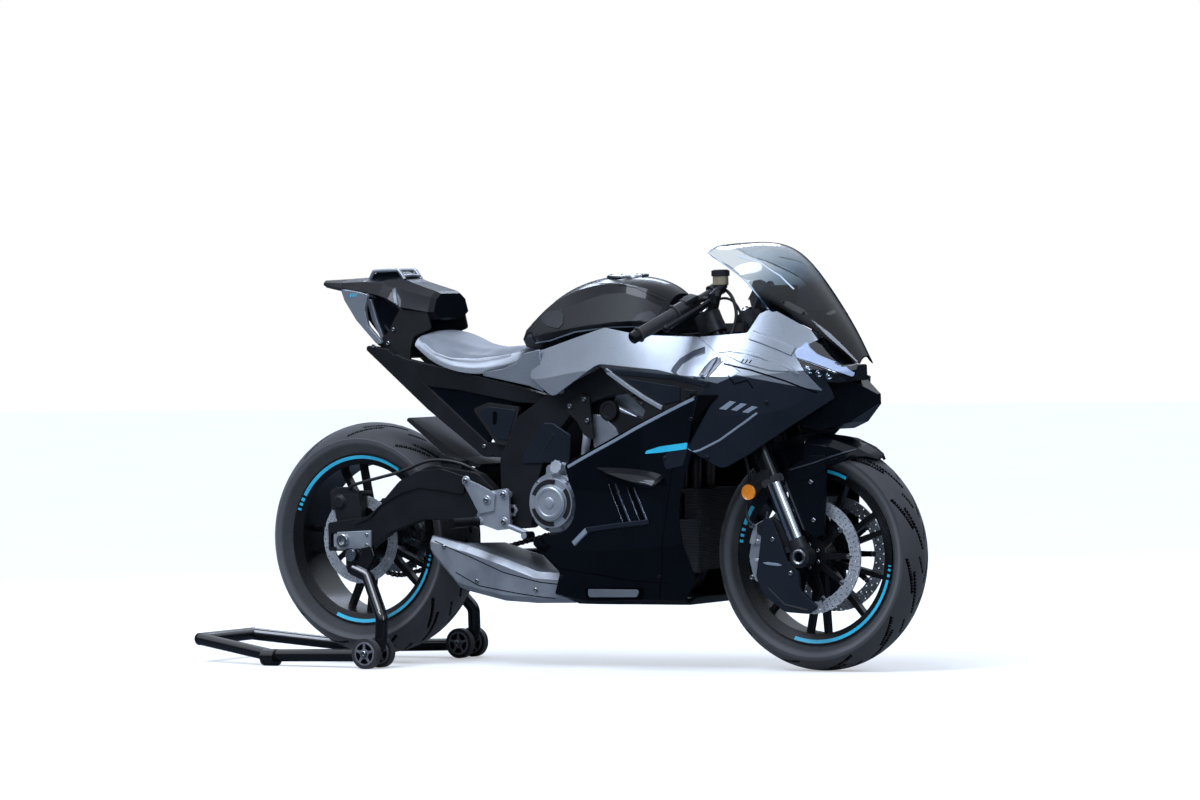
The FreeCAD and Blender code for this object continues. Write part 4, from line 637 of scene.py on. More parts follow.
def setUp():
    values = {
        "place": (8.1581, -12.6994, 0.9800), "azimuth": 32.26, "elevation": 1.04, "roll": -1.25,
        "lensMm": 169.8, "floorHalf": 30.0, "lampAim": (0.1, 0, 0.5),
        # Columns: lamp, place, size, power, tint.
        "lamps": (("keySoftbox", (-0.6, -3.4, 3.8), (2.6, 0.8), 110, "#DCE8FF"),
                  ("rimSoftbox", (-2.0, 3.2, 3.4), (2.4, 0.8), 60, "#D6E4FF"),
                  ("frontSoftbox", (4.6, -2.2, 2.6), (1.0, 2.0), 60, "#D6E4FF")),
        "ceilingFrom": (-0.5, -1.0, 2.6), "ceilingPower": 1.6, "ceilingAngle": 26,
        "ceilingTint": "#E4EDFF"}
    turn, rise, roll = (math.radians(values[key]) for key in ("azimuth", "elevation", "roll"))
    back = Vector((math.sin(turn) * math.cos(rise), -math.cos(turn) * math.cos(rise), math.sin(rise)))
    right = Vector((math.cos(turn), math.sin(turn), 0))
    up = back.cross(right)
    across = right * math.cos(roll) + up * math.sin(roll)
    above = up * math.cos(roll) - right * math.sin(roll)
    camera = bpy.data.cameras.new("photoCamera")
    camera.sensor_width, camera.lens = 36.0, values["lensMm"]
    camera.clip_end = 200.0
    holder = bpy.data.objects.new("photoCamera", camera)
    holder.matrix_world = Matrix((across, above, back)).transposed().to_4x4()
    holder.location = values["place"]
    bpy.context.scene.collection.objects.link(holder)
    bpy.context.scene.camera = holder

    floorShape = bmesh.new()
    half = values["floorHalf"]
    floorShape.faces.new([floorShape.verts.new((x * half, y * half, 0))
                          for x, y in ((-1, -1), (1, -1), (1, 1), (-1, 1))])
    mesh = bpy.data.meshes.new("studioFloor")
    floorShape.to_mesh(mesh)
    floorShape.free()
    floor = bpy.data.objects.new("studioFloor", mesh)
    bpy.context.scene.collection.objects.link(floor)
    # Painted studio floor: pale grey with a faint cloud, lifted towards white where the camera sees it.
    paint, tree, where, shader = finish("paintedStudioFloor", {
        "colour": "#D3D5D7", "tone": "#CFD1D4", "patchMm": 900, "grainMm": 6.0, "rough": (0.7, 0.8),
        "reliefMm": 0.0, "edgeMm": 0.1, "specular": 0.1})
    rays = add(tree, "LightPath", {})
    shader.inputs["Emission Color"].default_value = (1.0, 1.0, 1.0, 1.0)
    glow = spread(tree, rays.outputs["Is Camera Ray"], 0.0, 0.38, 0.0, 1.0)
    tree.links.new(glow, shader.inputs["Emission Strength"])
    # Paint and chrome mirror a slate coloured yard instead of the pale floor.
    pale = shader.inputs["Base Color"].links[0].from_socket
    mirrored = mixed(tree, rays.outputs["Is Glossy Ray"], pale, linear("#3E4751"))
    tree.links.new(mirrored, shader.inputs["Base Color"])
    mesh.materials.append(paint)

    world = bpy.data.worlds.new("studioSky")
    bpy.context.scene.world = world
    world.use_nodes = True
    tree = world.node_tree
    background = tree.nodes["Background"]
    where = add(tree, "TexCoord", {}).outputs["Generated"]
    height = add(tree, "SeparateXYZ", {0: where}).outputs["Z"]
    # A dim hall wall below a bright cool ceiling, seen in paint and chrome; plain white behind the object.
    roof = spread(tree, height, 0.0, 1.0, 0.12, 0.62)
    rays = add(tree, "LightPath", {})
    soft = mixed(tree, roof, linear("#6A7684"), linear("#E2ECFB"))
    glossRoof = spread(tree, height, 0.0, 1.0, 0.22, 0.5)
    sharp = mixed(tree, glossRoof, linear("#28313C"), linear("#EAF3FF"))
    ambient = mixed(tree, rays.outputs["Is Glossy Ray"], soft, sharp)
    direct = {"operation": "MAXIMUM", 0: rays.outputs["Is Camera Ray"],
              1: rays.outputs["Is Transmission Ray"]}
    seen = add(tree, "Math", direct).outputs[0]
    tree.links.new(mixed(tree, seen, ambient, (1.0, 1.0, 1.0, 1.0)), background.inputs["Color"])
    # Strength 1 where the backdrop is seen directly, less for the light that reaches the object.
    full = {"operation": "MAXIMUM", 0: seen, 1: rays.outputs["Is Glossy Ray"]}
    bright = add(tree, "Math", full).outputs[0]
    tree.links.new(spread(tree, bright, 0.8, 1.0, 0.0, 1.0), background.inputs["Strength"])

    def lamp(name, place, size, power, tint):
        light = bpy.data.lights.new(name, "AREA")
        light.shape, light.size, light.size_y = "RECTANGLE", size[0], size[1]
        light.energy, light.color = power, linear(tint)[:3]
        obj = bpy.data.objects.new(name, light)
        obj.location = place
        aim = Vector(values["lampAim"]) - Vector(place)
        obj.rotation_euler = aim.to_track_quat("-Z", "Y").to_euler()
        bpy.context.scene.collection.objects.link(obj)
    for row in values["lamps"]:
        lamp(*row)
    # Ceiling light of the hall, wide enough for a soft shadow and even over the whole floor.
    light = bpy.data.lights.new("ceilingLight", "SUN")
    light.energy, light.angle = values["ceilingPower"], math.radians(values["ceilingAngle"])
    light.color = linear(values["ceilingTint"])[:3]
    obj = bpy.data.objects.new("ceilingLight", light)
    obj.rotation_euler = (-Vector(values["ceilingFrom"])).to_track_quat("-Z", "Y").to_euler()
    bpy.context.scene.collection.objects.link(obj)


setUp()
print("camera, floor and lamps set")


# Wheels

def treadTyre(name, node, centre, values, material, body):
    # The carcass profile turned round the axle, with slanted cuts pressed into the tread.
    radius, width, rimHalf = values["radius"], values["width"], values["rimHalf"]
    half = width / 2
    shoulder = radius - width * 0.24
    # Columns: radius, distance outside the edge of the rim; the last place is the widest of the flank.
    bead = ((216, 0), (231, 0), (233, 2.5), (237, 3))
    profile = [(r, -rimHalf - out) for r, out in bead] + [((radius + 230) / 2 - 4, -half + 1.2)]
    # Sidewall above the widest place, then the crown as an arc.
    rise = radius - shoulder
    arc = (half ** 2 + rise ** 2) / (2 * rise)
    sweep = math.asin(min(1.0, half / arc))
    count = values["across"]
    crown = [(radius - arc + arc * math.cos(a), arc * math.sin(a))
             for a in (sweep * (2 * i / count - 1) for i in range(count + 1))]
    mirrored = [(r, -y) for r, y in reversed(profile)]
    rows = profile + crown + mirrored
    steps = values["round"]
    shape = bmesh.new()
    cx, cy, cz = centre
    rings = []
    for index, (r, y) in enumerate(rows):
        onCrown = len(profile) <= index < len(profile) + len(crown)
        lean = math.asin(max(-1, min(1, y / arc))) * arc if onCrown else 0
        ring = []
        for i in range(steps):
            turn = 2 * math.pi * i / steps
            rr = r - (cut(values, i / steps, lean, half) if onCrown else 0)
            spot = (cx + math.cos(turn) * rr, cy + y, cz + math.sin(turn) * rr)
            ring.append(shape.verts.new(inMetres(spot)))
        rings.append(ring)
    for first, second in zip(rings, rings[1:] + rings[:1]):
        for i in range(steps):
            j = (i + 1) % steps
            shape.faces.new([first[i], first[j], second[j], second[i]])
    tyre = shown(name, shape, material, body, (node,), 30)
    # Painted shade: the bottoms of the cuts take the dark gap material, standing in for the shadow inside
    # them.
    tyre.data.materials.append(made["panelGapShadow"])
    middle = Vector((cx / 1000, 0, cz / 1000))
    for face in tyre.data.polygons:
        spot = face.center - middle
        reach = math.hypot(spot.x, spot.z) * 1000
        y = spot.y * 1000 - cy
        if abs(y) >= half - 2 or reach <= shoulder:
            continue
        if reach < radius - arc + math.sqrt(arc ** 2 - y ** 2) - values["darkBelow"]:
            face.material_index = 1
    return tyre


def cut(values, share, lean, half):
    # Depth of the tread cuts at this share of a turn and this distance from the middle line, in mm.
    repeats, girth = values["repeats"], 2 * math.pi * values["radius"]
    pitch = girth / repeats
    deepest = 0.0
    for side in (-1, 1):
        along = (share * repeats + (0.5 if side > 0 else 0.0)) % 1.0 * pitch
        off = lean * side
        for x0, y0, x1, y1, wide in values["cuts"]:
            for shift in (-pitch, 0.0, pitch):
                ax, bx = x0 * pitch + shift, x1 * pitch + shift
                dx, dy = bx - ax, (y1 - y0) * half
                t = ((along - ax) * dx + (off - y0 * half) * dy) / (dx * dx + dy * dy)
                if t < -0.1 or t > 1.1:
                    continue
                t = max(0.0, min(1.0, t))
                gap = math.hypot(along - ax - dx * t, off - y0 * half - dy * t)
                deepest = max(deepest, values["depth"] * max(0.0, min(1.0, (wide - gap) / 1.2)))
    return deepest


def wheels():
    # Cuts are (along, across, along, across, half width): along in pitches, across in half widths.
    cuts = ((0.10, 0.10, 0.75, 0.60, 3.6), (0.42, 0.50, 0.95, 0.98, 3.8), (0.74, 0.08, 0.98, 0.34, 3.0))
    front = {"radius": 300, "width": 120, "rimHalf": 37.5, "across": 56, "round": 780, "repeats": 11,
             "depth": 5.0, "darkBelow": 2.2, "cuts": cuts}
    rear = {"radius": 315, "width": 180, "rimHalf": 63.0, "across": 72, "round": 780, "repeats": 11,
            "depth": 5.5, "darkBelow": 2.2, "cuts": cuts}
    treadTyre("front_tyre_tread", "front_tyre", frontCentre, front, "frontTyreRubber", "front_wheel")
    treadTyre("rear_tyre_tread", "rear_tyre", rearCentre, rear, "rearTyreRubber", "rear_wheel")


def rimBand(shape, centre, half, side, low, high, start, end):
    # A thin film on the sloping side of the rim, between two radii and two angles from above +X.
    cx, _, cz = centre
    count = max(2, int((end - start) / 3))
    rows = []
    for i in range(count + 1):
        turn = math.radians(start + (end - start) * i / count)
        row = []
        for radius in (low, high):
            y = half - 10 + 10 * (radius - 203) / 27
            row.append(shape.verts.new(inMetres((cx + math.cos(turn) * radius, side * (y + 0.5),
                                                 cz + math.sin(turn) * radius))))
        rows.append(row)
    for first, second in zip(rows, rows[1:]):
        shape.faces.new([first[0], first[1], second[1], second[0]])


def rimStripes():
    # Angles go round from the front, upwards; the dashes follow each long stripe.
    low, high = 218.0, 227.0
    frontBands = ((253, 344), (346, 348), (350, 351.5), (353, 354), (64, 79), (145, 159), (161.5, 163.5),
                  (165.5, 167.5), (169.5, 171.5))
    rearBands = ((57, 148), (150, 152.5), (154, 156), (158, 159.5), (246, 339), (341, 343), (345, 346.5),
                 (348, 349))
    for name, centre, half, body, bands in (
            ("front_rim_stripes", frontCentre, 44.5, "front_wheel", frontBands),
            ("rear_rim_stripes", rearCentre, 70.0, "rear_wheel", rearBands)):
        shape = bmesh.new()
        for side in (-1, 1):
            for start, end in bands:
                rimBand(shape, centre, half, side, low, high, start, end)
        shown(name, shape, "cyanVinylFilm", body)


def drilledDisc(shape, centre, side, values):
    # The braking band as rows of cells, each with a round hole, plus its rims.
    outer, inner, thick = values["outer"], values["inner"], values["thick"]
    y = centre[1] + side * values["y"]
    rowsCount, cells, hole = values["rows"], values["cells"], values["hole"]
    cx, cz = centre[0], centre[2]

    def spot(radius, turn, level):
        return inMetres((cx + math.cos(turn) * radius, level, cz + math.sin(turn) * radius))
    step = (outer - inner) / rowsCount
    for row in range(rowsCount):
        low, high = inner + step * row, inner + step * (row + 1)
        middle = (low + high) / 2
        for cell in range(cells):
            centreTurn = 2 * math.pi * (cell + 0.5 * (row % 2)) / cells
            halfTurn = math.pi / cells
            faces = []
            for level in (y - thick / 2, y + thick / 2):
                ring, frameRing = [], []
                for k in range(12):
                    angle = 2 * math.pi * k / 12
                    radial, around = math.cos(angle) * hole, math.sin(angle) * hole
                    ring.append(shape.verts.new(spot(middle + radial, centreTurn + around / middle, level)))
                    scale = 1 / max(abs(math.cos(angle)), abs(math.sin(angle)))
                    boxRadial = math.cos(angle) * scale * step / 2
                    boxTurn = math.sin(angle) * scale * halfTurn
                    frameRing.append(shape.verts.new(spot(middle + boxRadial, centreTurn + boxTurn, level)))
                for k in range(12):
                    j = (k + 1) % 12
                    shape.faces.new([ring[k], ring[j], frameRing[j], frameRing[k]])
                faces.append(ring)
            for k in range(12):
                j = (k + 1) % 12
                shape.faces.new([faces[0][k], faces[0][j], faces[1][j], faces[1][k]])
    base = (cx, y - thick / 2, cz)
    for radius in (outer, inner):
        lathe(shape, [(radius, 0), (radius, thick)], base, (0, 1, 0), 96)


def brakeDiscs():
    front = {"outer": 150, "inner": 118, "thick": 5, "y": 65, "rows": 3, "cells": 34, "hole": 2.4,
             "bobbins": 10, "carrier": 112, "hub": 34, "bore": 18.2}
    rear = {"outer": 120, "inner": 90, "thick": 5, "y": 78, "rows": 3, "cells": 30, "hole": 2.4,
            "bobbins": 0, "carrier": 92, "hub": 44, "bore": 16.7}
    # Columns: piece, node that it replaces, wheel centre, its sides, sizes, body, steel.
    for name, node, centre, faces, values, body, steel in (
            ("front_brake_discs", "front_discs", frontCentre, (-1, 1), front, "front_wheel",
             "frontGroundSteel"),
            ("rear_brake_disc", "rear_disc", rearCentre, (-1,), rear, "rear_wheel", "rearGroundSteel")):
        band, carrier, bobbins = bmesh.new(), bmesh.new(), bmesh.new()
        cx, _, cz = centre
        for side in faces:
            drilledDisc(band, centre, side, values)
            y = side * values["y"]
            arms = max(5, values["bobbins"])
            for arm in range(arms):
                turn = 2 * math.pi * arm / arms
                along = Vector((math.cos(turn), 0, math.sin(turn)))
                place = boarded(Vector((cx, y, cz)), along, Vector((-along.z, 0, along.x)))
                root, tip = values["hub"] + 10, values["carrier"] - 2
                slab(carrier, [(root, -9), (tip - 10, -7, 4), (tip, -8, 4), (tip, 8, 4), (tip - 10, 7, 4),
                               (root, 9)], -2.2, 2.2, place)
                if values["bobbins"]:
                    centreSpot = Vector((cx, y, cz)) + along * 115
                    lathe(bobbins, [(0, -4), (3, -4), (3, -3), (7, -3.4), (7.6, -2.6), (7.6, 2.6), (7, 3.4),
                                    (3, 3), (3, 4), (0, 4)], centreSpot, (0, 1, 0), 20)
            base = (cx, y, cz)
            boss = values["y"] - (50 if side and values["bobbins"] else 60)
            hub, bore = values["hub"], values["bore"]
            lathe(carrier, [(bore, -2.6), (hub + 14, -2.6), (hub + 16, 0), (hub + 14, 2.6), (bore, 2.6),
                            (bore, -2.6)], base, (0, 1, 0), 60)
            sleeve = [(bore, 0), (hub, 0), (hub, boss), (bore, boss), (bore, 0)]
            lathe(carrier, sleeve, base, (0, -side, 0), 48)
            for ahead, above in around(6, hub * 0.86, 0.5):
                bolt(bobbins, (cx + ahead, y + side * 2.6, cz + above), (0, side, 0), 5.5, 4)
        shown(name, band, steel, body, (node,), 30)
        shown(name + "_carrier", carrier, "hardAnodisedAluminium", body, (), 30)
        shown(name + "_bolts", bobbins, "zincPlatedSteel", body, (), 30)


wheels()
rimStripes()
brakeDiscs()
print("wheels done")

# Shared shapes for the bodywork and the mechanical pieces

def ringLoft(shape, rings, caps=True):
    # Rings of points joined in order, with the ends closed.
    rows = [[shape.verts.new(inMetres(p)) for p in ring] for ring in rings]
    for first, second in zip(rows, rows[1:]):
        for i in range(len(first)):
            j = (i + 1) % len(first)
            shape.faces.new([first[i], first[j], second[j], second[i]])
    if caps:
        shape.faces.new(rows[0])
        shape.faces.new(rows[-1])
    return shape


def smoothLine(points, steps=6):
    # A curve through all the points.
    points = [Vector(p) for p in points]
    line = []
    for i in range(len(points) - 1):
        a, b = points[max(0, i - 1)], points[i]
        c, d = points[i + 1], points[min(len(points) - 1, i + 2)]
        for k in range(steps):
            t = k / steps
            line.append(0.5 * (2 * b + (c - a) * t + (2 * a - 5 * b + 4 * c - d) * t ** 2
                               + (3 * b - a - 3 * c + d) * t ** 3))
    line.append(points[-1])
    return line


def tube(shape, points, radius, steps=14, smooth=6):
    # A bar swept along smoothed points, without twist.
    line = smoothLine(points, smooth) if smooth else [Vector(p) for p in points]
    rings = []
    side = axes(line[1] - line[0])[0]
    for i, spot in enumerate(line):
        way = (line[min(i + 1, len(line) - 1)] - line[max(i - 1, 0)]).normalized()
        side = (side - way * side.dot(way)).normalized()
        up = way.cross(side)
        rings.append([spot + (side * math.cos(2 * math.pi * k / steps)
                              + up * math.sin(2 * math.pi * k / steps)) * radius for k in range(steps)])
    return ringLoft(shape, rings)


def trim(name, material, marks, sharp=35.0, stepMm=9.0):
    # Trim on both sides. Columns of marks: nodes below, points, width of a band or None, height.
    for side, tag in sides:
        shape = bmesh.new()
        for names, points, width, high in marks:
            if width is None:
                patch(shape, names, points, high, side, stepMm)
            else:
                strip(shape, names, points, width, high, side)
        shown(name + "_" + tag, shape, material, "chassis", (), sharp)


def screws(name, names, material, spots, lean, radius, height, lift=0.0):
    # Screws on both sides, pointing outwards with a lean along X and Z.
    for side, tag in sides:
        shape = bmesh.new()
        for x, z in spots:
            bolt(shape, onSide(names, x, z, side, lift) * 1000, (lean[0], side, lean[1]), radius, height)
        shown(name + "_" + tag, shape, material, "chassis")


# Fairing trim: films, joints, vents and screws

def fairingTrim():
    values = {
        "navyStripes": (((505, 752), (508, 767), (514, 790), (527, 810), (558, 828), (589, 838)),
                        ((594, 752), (597, 771), (607, 790), (621, 807), (646, 818))),
        "joint": ((650, 802), (721, 785), (770, 768), (805, 755), (841, 739), (878, 723)),
        "ridge": ((712, 874), (749, 861), (787, 845), (822, 829)),
        "fold": ((630, 834), (661, 837), (702, 831), (741, 820), (779, 804), (817, 788), (838, 770)),
        "raised": ((640, 829, 8), (702, 827, 20), (779, 800, 10), (828, 778, 4), (770, 782, 10),
                   (700, 803, 10)),
        "slashes": ((698, 805), (708, 804), (718, 803)), "slashRun": 5, "slashTop": 8, "slashFoot": 1,
        "ventLines": (((668, 772), (683, 749), (716, 758)), ((716, 758), (729, 738))),
        "greySlashes": (((641, 686), (671, 706), (686, 703), (660, 683)),
                        ((673, 683), (699, 700), (714, 697), (688, 680)),
                        ((701, 677), (726, 692), (740, 689), (716, 674))),
        "crease": ((553, 573), (582, 580), (611, 593), (639, 606), (672, 628), (706, 651), (738, 674)),
        "edge": ((166, 537), (215, 560), (271, 585), (330, 611), (389, 638), (420, 651), (500, 684),
                 (578, 716)),
        "accent": ((415, 571, 2), (421, 579, 2), (463, 590, 10), (548, 600, 4), (544, 583, 4),
                   (463, 574, 6)),
        "blackInlay": ((584, 722), (646, 722, 4), (520, 604, 4), (548, 588, 2), (560, 640, 10)),
        "greyInlay": ((549, 588), (510, 597, 4), (470, 560, 12), (478, 530, 10), (530, 540, 10)),
        "vents": (((300, 492, 3), (322, 492, 3), (362, 392, 3), (342, 386, 3)),
                  ((358, 484, 3), (380, 484, 3), (417, 390, 3), (396, 384, 3))),
        "lip": ((176, 336), (222, 372), (330, 385), (420, 394)),
        "window": ((180, 218, 8), (369, 220, 12), (352, 188, 8), (172, 186, 8)),
        "collector": ((190, 214, 6), (352, 214, 12), (336, 194, 8), (184, 192, 8)),
        "lowerJoints": (((512, 597), (497, 529), (480, 451), (462, 373), (442, 294), (403, 190)),
                        ((30, 332), (110, 268), (240, 252), (330, 238), (441, 232))),
        "screws": ((110, 246), (330, 470), (476, 560), (420, 250), (560, 660), (600, 560), (760, 700)),
    }
    silver, dark, low = ("side_panels",), ("upper_fairings",), ("lower_fairing",)
    whole = ("side_panels", "nose_sides", "upper_fairings", "lower_fairing", "side_infills")
    nose, lower = ("nose_sides", "side_panels"), ("lower_fairing", "upper_fairings")
    run, top, foot = values["slashRun"], values["slashTop"], values["slashFoot"]
    trim("navy_stripes", "navyVinylFilm",
         [(silver, line, 22, 0.25) for line in values["navyStripes"]])
    trim("nose_joint", "panelGapShadow", [(whole, values["joint"], 5, 0.15)])
    trim("nose_ridges", "satinSilverPaint",
         [(nose, values["ridge"], 26, 3.5), (nose, values["raised"], None, 2.5),
          (nose, values["fold"], 10, 2.2)], 30)
    trim("fairing_joints", "panelGapShadow",
         [(nose, ((x, z - foot), (x + run, z + top)), 3.5, 3.2) for x, z in values["slashes"]]
         + [(whole, line, 4, 0.3) for line in values["ventLines"]]
         + [(low, line, 3.2, 0.15) for line in values["lowerJoints"]])
    trim("cyan_accent", "cyanVinylFilm", [(lower, values["accent"], None, 1.2)])
    # Black inlay on the upper fairing; the dark patches in the vents and the belly window are painted shade
    # in the openings.
    trim("black_inlays", "panelGapShadow",
         [(dark, values["blackInlay"], None, 0.8)] + [(low, vent, None, 0.5) for vent in values["vents"]]
         + [(low, values["window"], None, 0.5)])
    trim("grey_inlays", "satinGraphitePaint",
         [(low, values["greyInlay"], None, 0.8), (low, values["lip"][1:], 15, 5.0)])
    trim("pale_lines", "greyVinylFilm",
         [(dark, corners, None, 0.25) for corners in values["greySlashes"]]
         + [(dark, values["crease"], 6, 1.6), (low, values["edge"], 9, 1.6),
            (low, values["lip"][:2], 15, 5.0)])
    edges = []
    for vent in values["vents"]:
        rearTop, frontTop, frontFoot, rearFoot = (corner[:2] for corner in vent)
        edges += [(low, (frontTop, frontFoot), 6.0, 2.6), (low, (rearTop, rearFoot), 2.5, 1.6)]
    trim("vent_edges", "hardChrome", edges)
    trim("collector_window", "beadBlastedSteel", [(low, values["collector"], None, 3.0)])
    screws("fairing_screws", whole, "hardAnodisedAluminium", values["screws"], (0, 0.1),
           6.0, 2.5)


def infillPanels():
    # The dark panel below the silver side: a grey band, a slate triangle and two struts.
    values = {
        "band": ((264, 800, 3), (462, 786, 50), (652, 750, 3), (640, 736, 3), (520, 764, 30),
                 (330, 778, 10)),
        "triangle": ((346, 770, 6), (533, 744, 4), (532, 708, 4), (482, 700, 4)),
        "strut": ((292, 790), (355, 752), (420, 716), (474, 690)),
        "beam": ((272, 782), (330, 742), (396, 700)),
        "bracket": ((546, 738), (580, 734), (578, 716), (548, 716))}
    names = ("side_infills",)
    trim("infill_band", "satinGraphitePaint",
         [(names, values["band"], None, 2.2), (names, values["triangle"], None, 2.8)], 30)
    trim("infill_strut", "dieCastAluminium", [(names, values["strut"], 13, 6.0)], 30)
    trim("infill_beam", "satinFramePaint",
         [(names, values["beam"], 15, 4.0), (names, values["bracket"], None, 3.0)], 30)


def winglets():
    # Drop shaped blades with a rounded nose. Columns: y, rear x, rear z, front x, front z, thickness, drop.
    values = {
        "sections": ((206, 250, 538, 474, 515, 30, 0), (232, 300, 527, 472, 508, 27, 4),
                     (250, 356, 517, 466, 500, 20, 8), (258, 400, 509, 456, 496, 9, 10)),
        "count": 26, "fullness": 1.15, "least": 0.02}
    shape = bmesh.new()
    for side, _ in sides:
        rings = []
        for y, x0, z0, x1, z1, thick, drop in values["sections"]:
            ring = []
            for k in range(values["count"]):
                turn = 2 * math.pi * k / values["count"]
                share = 0.5 - 0.5 * math.cos(turn)
                bulge = math.sqrt(max(share, values["least"])) * values["fullness"]
                full = thick / 2 * math.sin(turn) * bulge
                ring.append((x0 + (x1 - x0) * share, side * y, z0 + (z1 - z0) * share - drop + full))
            rings.append(ring)
        ringLoft(shape, rings)
    shown("winglet_blades", shape, "clearCoatedBlackAbs", "chassis", ("winglets",), 50)


def lampUnit():
    values = {
        "guide": ((826, 832, 3), (852, 854, 3), (862, 838, 10), (880, 822, 10), (902, 810, 6),
                  (935, 791, 6), (956, 772, 2), (954, 762, 2), (934, 775, 6), (902, 790, 6),
                  (866, 804, 6), (832, 815, 4)),
        "cell": ((838, 806, 4), (866, 797, 4), (900, 784, 4), (932, 768, 4), (930, 757, 4),
                 (896, 752, 6), (868, 757, 6), (856, 776, 6)),
        "lenses": ((868, 781), (890, 772), (911, 765)), "lensAim": (0.75, 0.65),
        "lens": ((10, 0), (9.5, 3), (7.5, 3.2), (7, 0.5), (3, 2.2), (0, 3.2)),
        "frame": ((836, 812), (902, 787), (938, 770)), "frameWidth": 2.5, "frameHeight": 2.4}
    names = ("headlamp_unit",)
    trim("running_lamp", "opalLightGuide", [(names, values["guide"], None, 5.0)], 30, 6.0)
    trim("lamp_cell", "coatedDisplayGlass", [(names, values["cell"], None, 1.2)], 35, 6.0)
    ahead, outwards = values["lensAim"]
    for side, tag in sides:
        shape = bmesh.new()
        for x, z in values["lenses"]:
            spot = onSide(names, x, z, side, 1) * 1000
            lathe(shape, values["lens"], spot, (ahead, side * outwards, 0), 20)
        strip(shape, names, values["frame"], values["frameWidth"], values["frameHeight"], side)
        shown("lamp_lenses_" + tag, shape, "metallisedReflector", "chassis", (), 30)


def screenDetails():
    values = {
        "edge": ((546, 98, 1090), (600, 122, 1064), (680, 148, 1020), (715, 149, 984),
                 (750, 142, 940)),
        "rear": ((546, -98, 1090), (546, -80, 1098.5), (546, -50, 1106.2), (546, 0, 1110),
                 (546, 50, 1106.2), (546, 80, 1098.5), (546, 98, 1090)),
        "edgeRadius": 2.3, "inwards": 2, "rearShare": 0.98, "rearDrop": 1,
        "blank": ((775, 963, 6), (800, 957, 6), (830, 938, 8), (843, 922, 6), (822, 927, 6),
                  (792, 944, 6)),
        "slot": ((871, 924, 4), (878, 937, 4), (884, 930, 4), (879, 919, 4)),
        "screws": ((786, 957), (832, 928)),
        "fold": ((640, 1080), (709, 1062), (765, 1025), (800, 990))}
    names = ("windscreen",)
    # Painted highlight: pale tubes along the screen's rim.
    shape = bmesh.new()
    for side, _ in sides:
        line = [(x, side * (y - values["inwards"]), z) for x, y, z in values["edge"]]
        tube(shape, line, values["edgeRadius"], 8)
    line = [(x, y * values["rearShare"], z - values["rearDrop"]) for x, y, z in values["rear"]]
    tube(shape, line, values["edgeRadius"], 8, 3)
    shown("screen_edges", shape, "polishedAcrylicEdge", "chassis")
    trim("mirror_blanks", "coatedDisplayGlass",
         [(names, values["blank"], None, 1.6), (names, values["slot"], None, 1.2)], 35, 5.0)
    screws("blank_screws", names, "hardAnodisedAluminium", values["screws"], (0.4, 0.3),
           4, 2.5, 1.5)
    # Painted highlight: a pale band along the screen's fold.
    trim("screen_fold", "polishedAcrylicEdge", [(names, values["fold"], 3.0, 0.6)])


# Tank, seat and tail

def tankDetails():
    values = {
        "ridge": ((-40, 912), (20, 968), (95, 1003), (150, 1020), (236, 1018), (320, 1004),
                  (398, 968)),
        "facet": ((-20, 888, 4), (2, 912, 10), (80, 948, 20), (152, 967, 30), (227, 988, 20),
                  (290, 990, 20), (350, 974, 10), (398, 950, 6), (396, 912, 6), (300, 906, 20),
                  (150, 886, 20), (20, 866, 10)),
        "pads": (((4, 932, 6), (30, 945, 6), (84, 947, 6), (104, 936, 8), (114, 910, 8),
                  (100, 900, 8), (50, 906, 8), (12, 920, 6)),
                 ((-40, 884, 4), (-16, 884, 4), (-4, 868, 4), (-14, 858, 4), (-44, 866, 4)),
                 ((334, 902, 8), (354, 936, 8), (376, 942, 8), (395, 928, 6), (384, 906, 6))),
        "lower": ((-10, 862), (60, 868), (160, 890), (270, 900), (390, 902)),
        # Columns: radius, height above the collar.
        "cap": ((0, 9.2), (24, 9.2), (25, 10.6), (38, 10.6), (40, 9.4), (51, 9.4), (54, 8), (55, 5),
                (55, 0.4), (0, 0.4)),
        "capCentre": (237, 0, 1028.6), "bolts": 7, "boltCircle": 46, "boltLevel": 1037.6,
        "pin": (292, 14, 1036), "pinRadius": 4}
    names = ("fuel_tank",)
    trim("tank_ridge", "clearCoatedBlackAbs", [(names, values["ridge"], 5, 1.2)], 25)
    trim("tank_facet", "grainedAbs", [(names, values["facet"], None, 0.5)])
    trim("knee_pads", "greyPadRubber",
         [(names, pad, None, 2.2) for pad in values["pads"]], 30, 6.0)
    trim("tank_lower_joint", "greyVinylFilm", [(names, values["lower"], 4, 1.0)])
    # Filler cap with a raised lock, its ring of screws and its hinge pin.
    shape = bmesh.new()
    lathe(shape, values["cap"], values["capCentre"], (0, 0, 1), 64)
    shown("filler_cap", shape, "milledAluminium", "fuel_cap", ("fuel_cap",), 30)
    shape = bmesh.new()
    for ahead, across in around(values["bolts"], values["boltCircle"], 0.5):
        bolt(shape, (values["capCentre"][0] + ahead, across, values["boltLevel"]), (0, 0, 1), 3.6, 2.6)
    x, y, z = values["pin"]
    rod(shape, (x, -y, z), (x, y, z), values["pinRadius"], 16)
    shown("filler_cap_bolts", shape, "zincPlatedSteel", "fuel_cap")


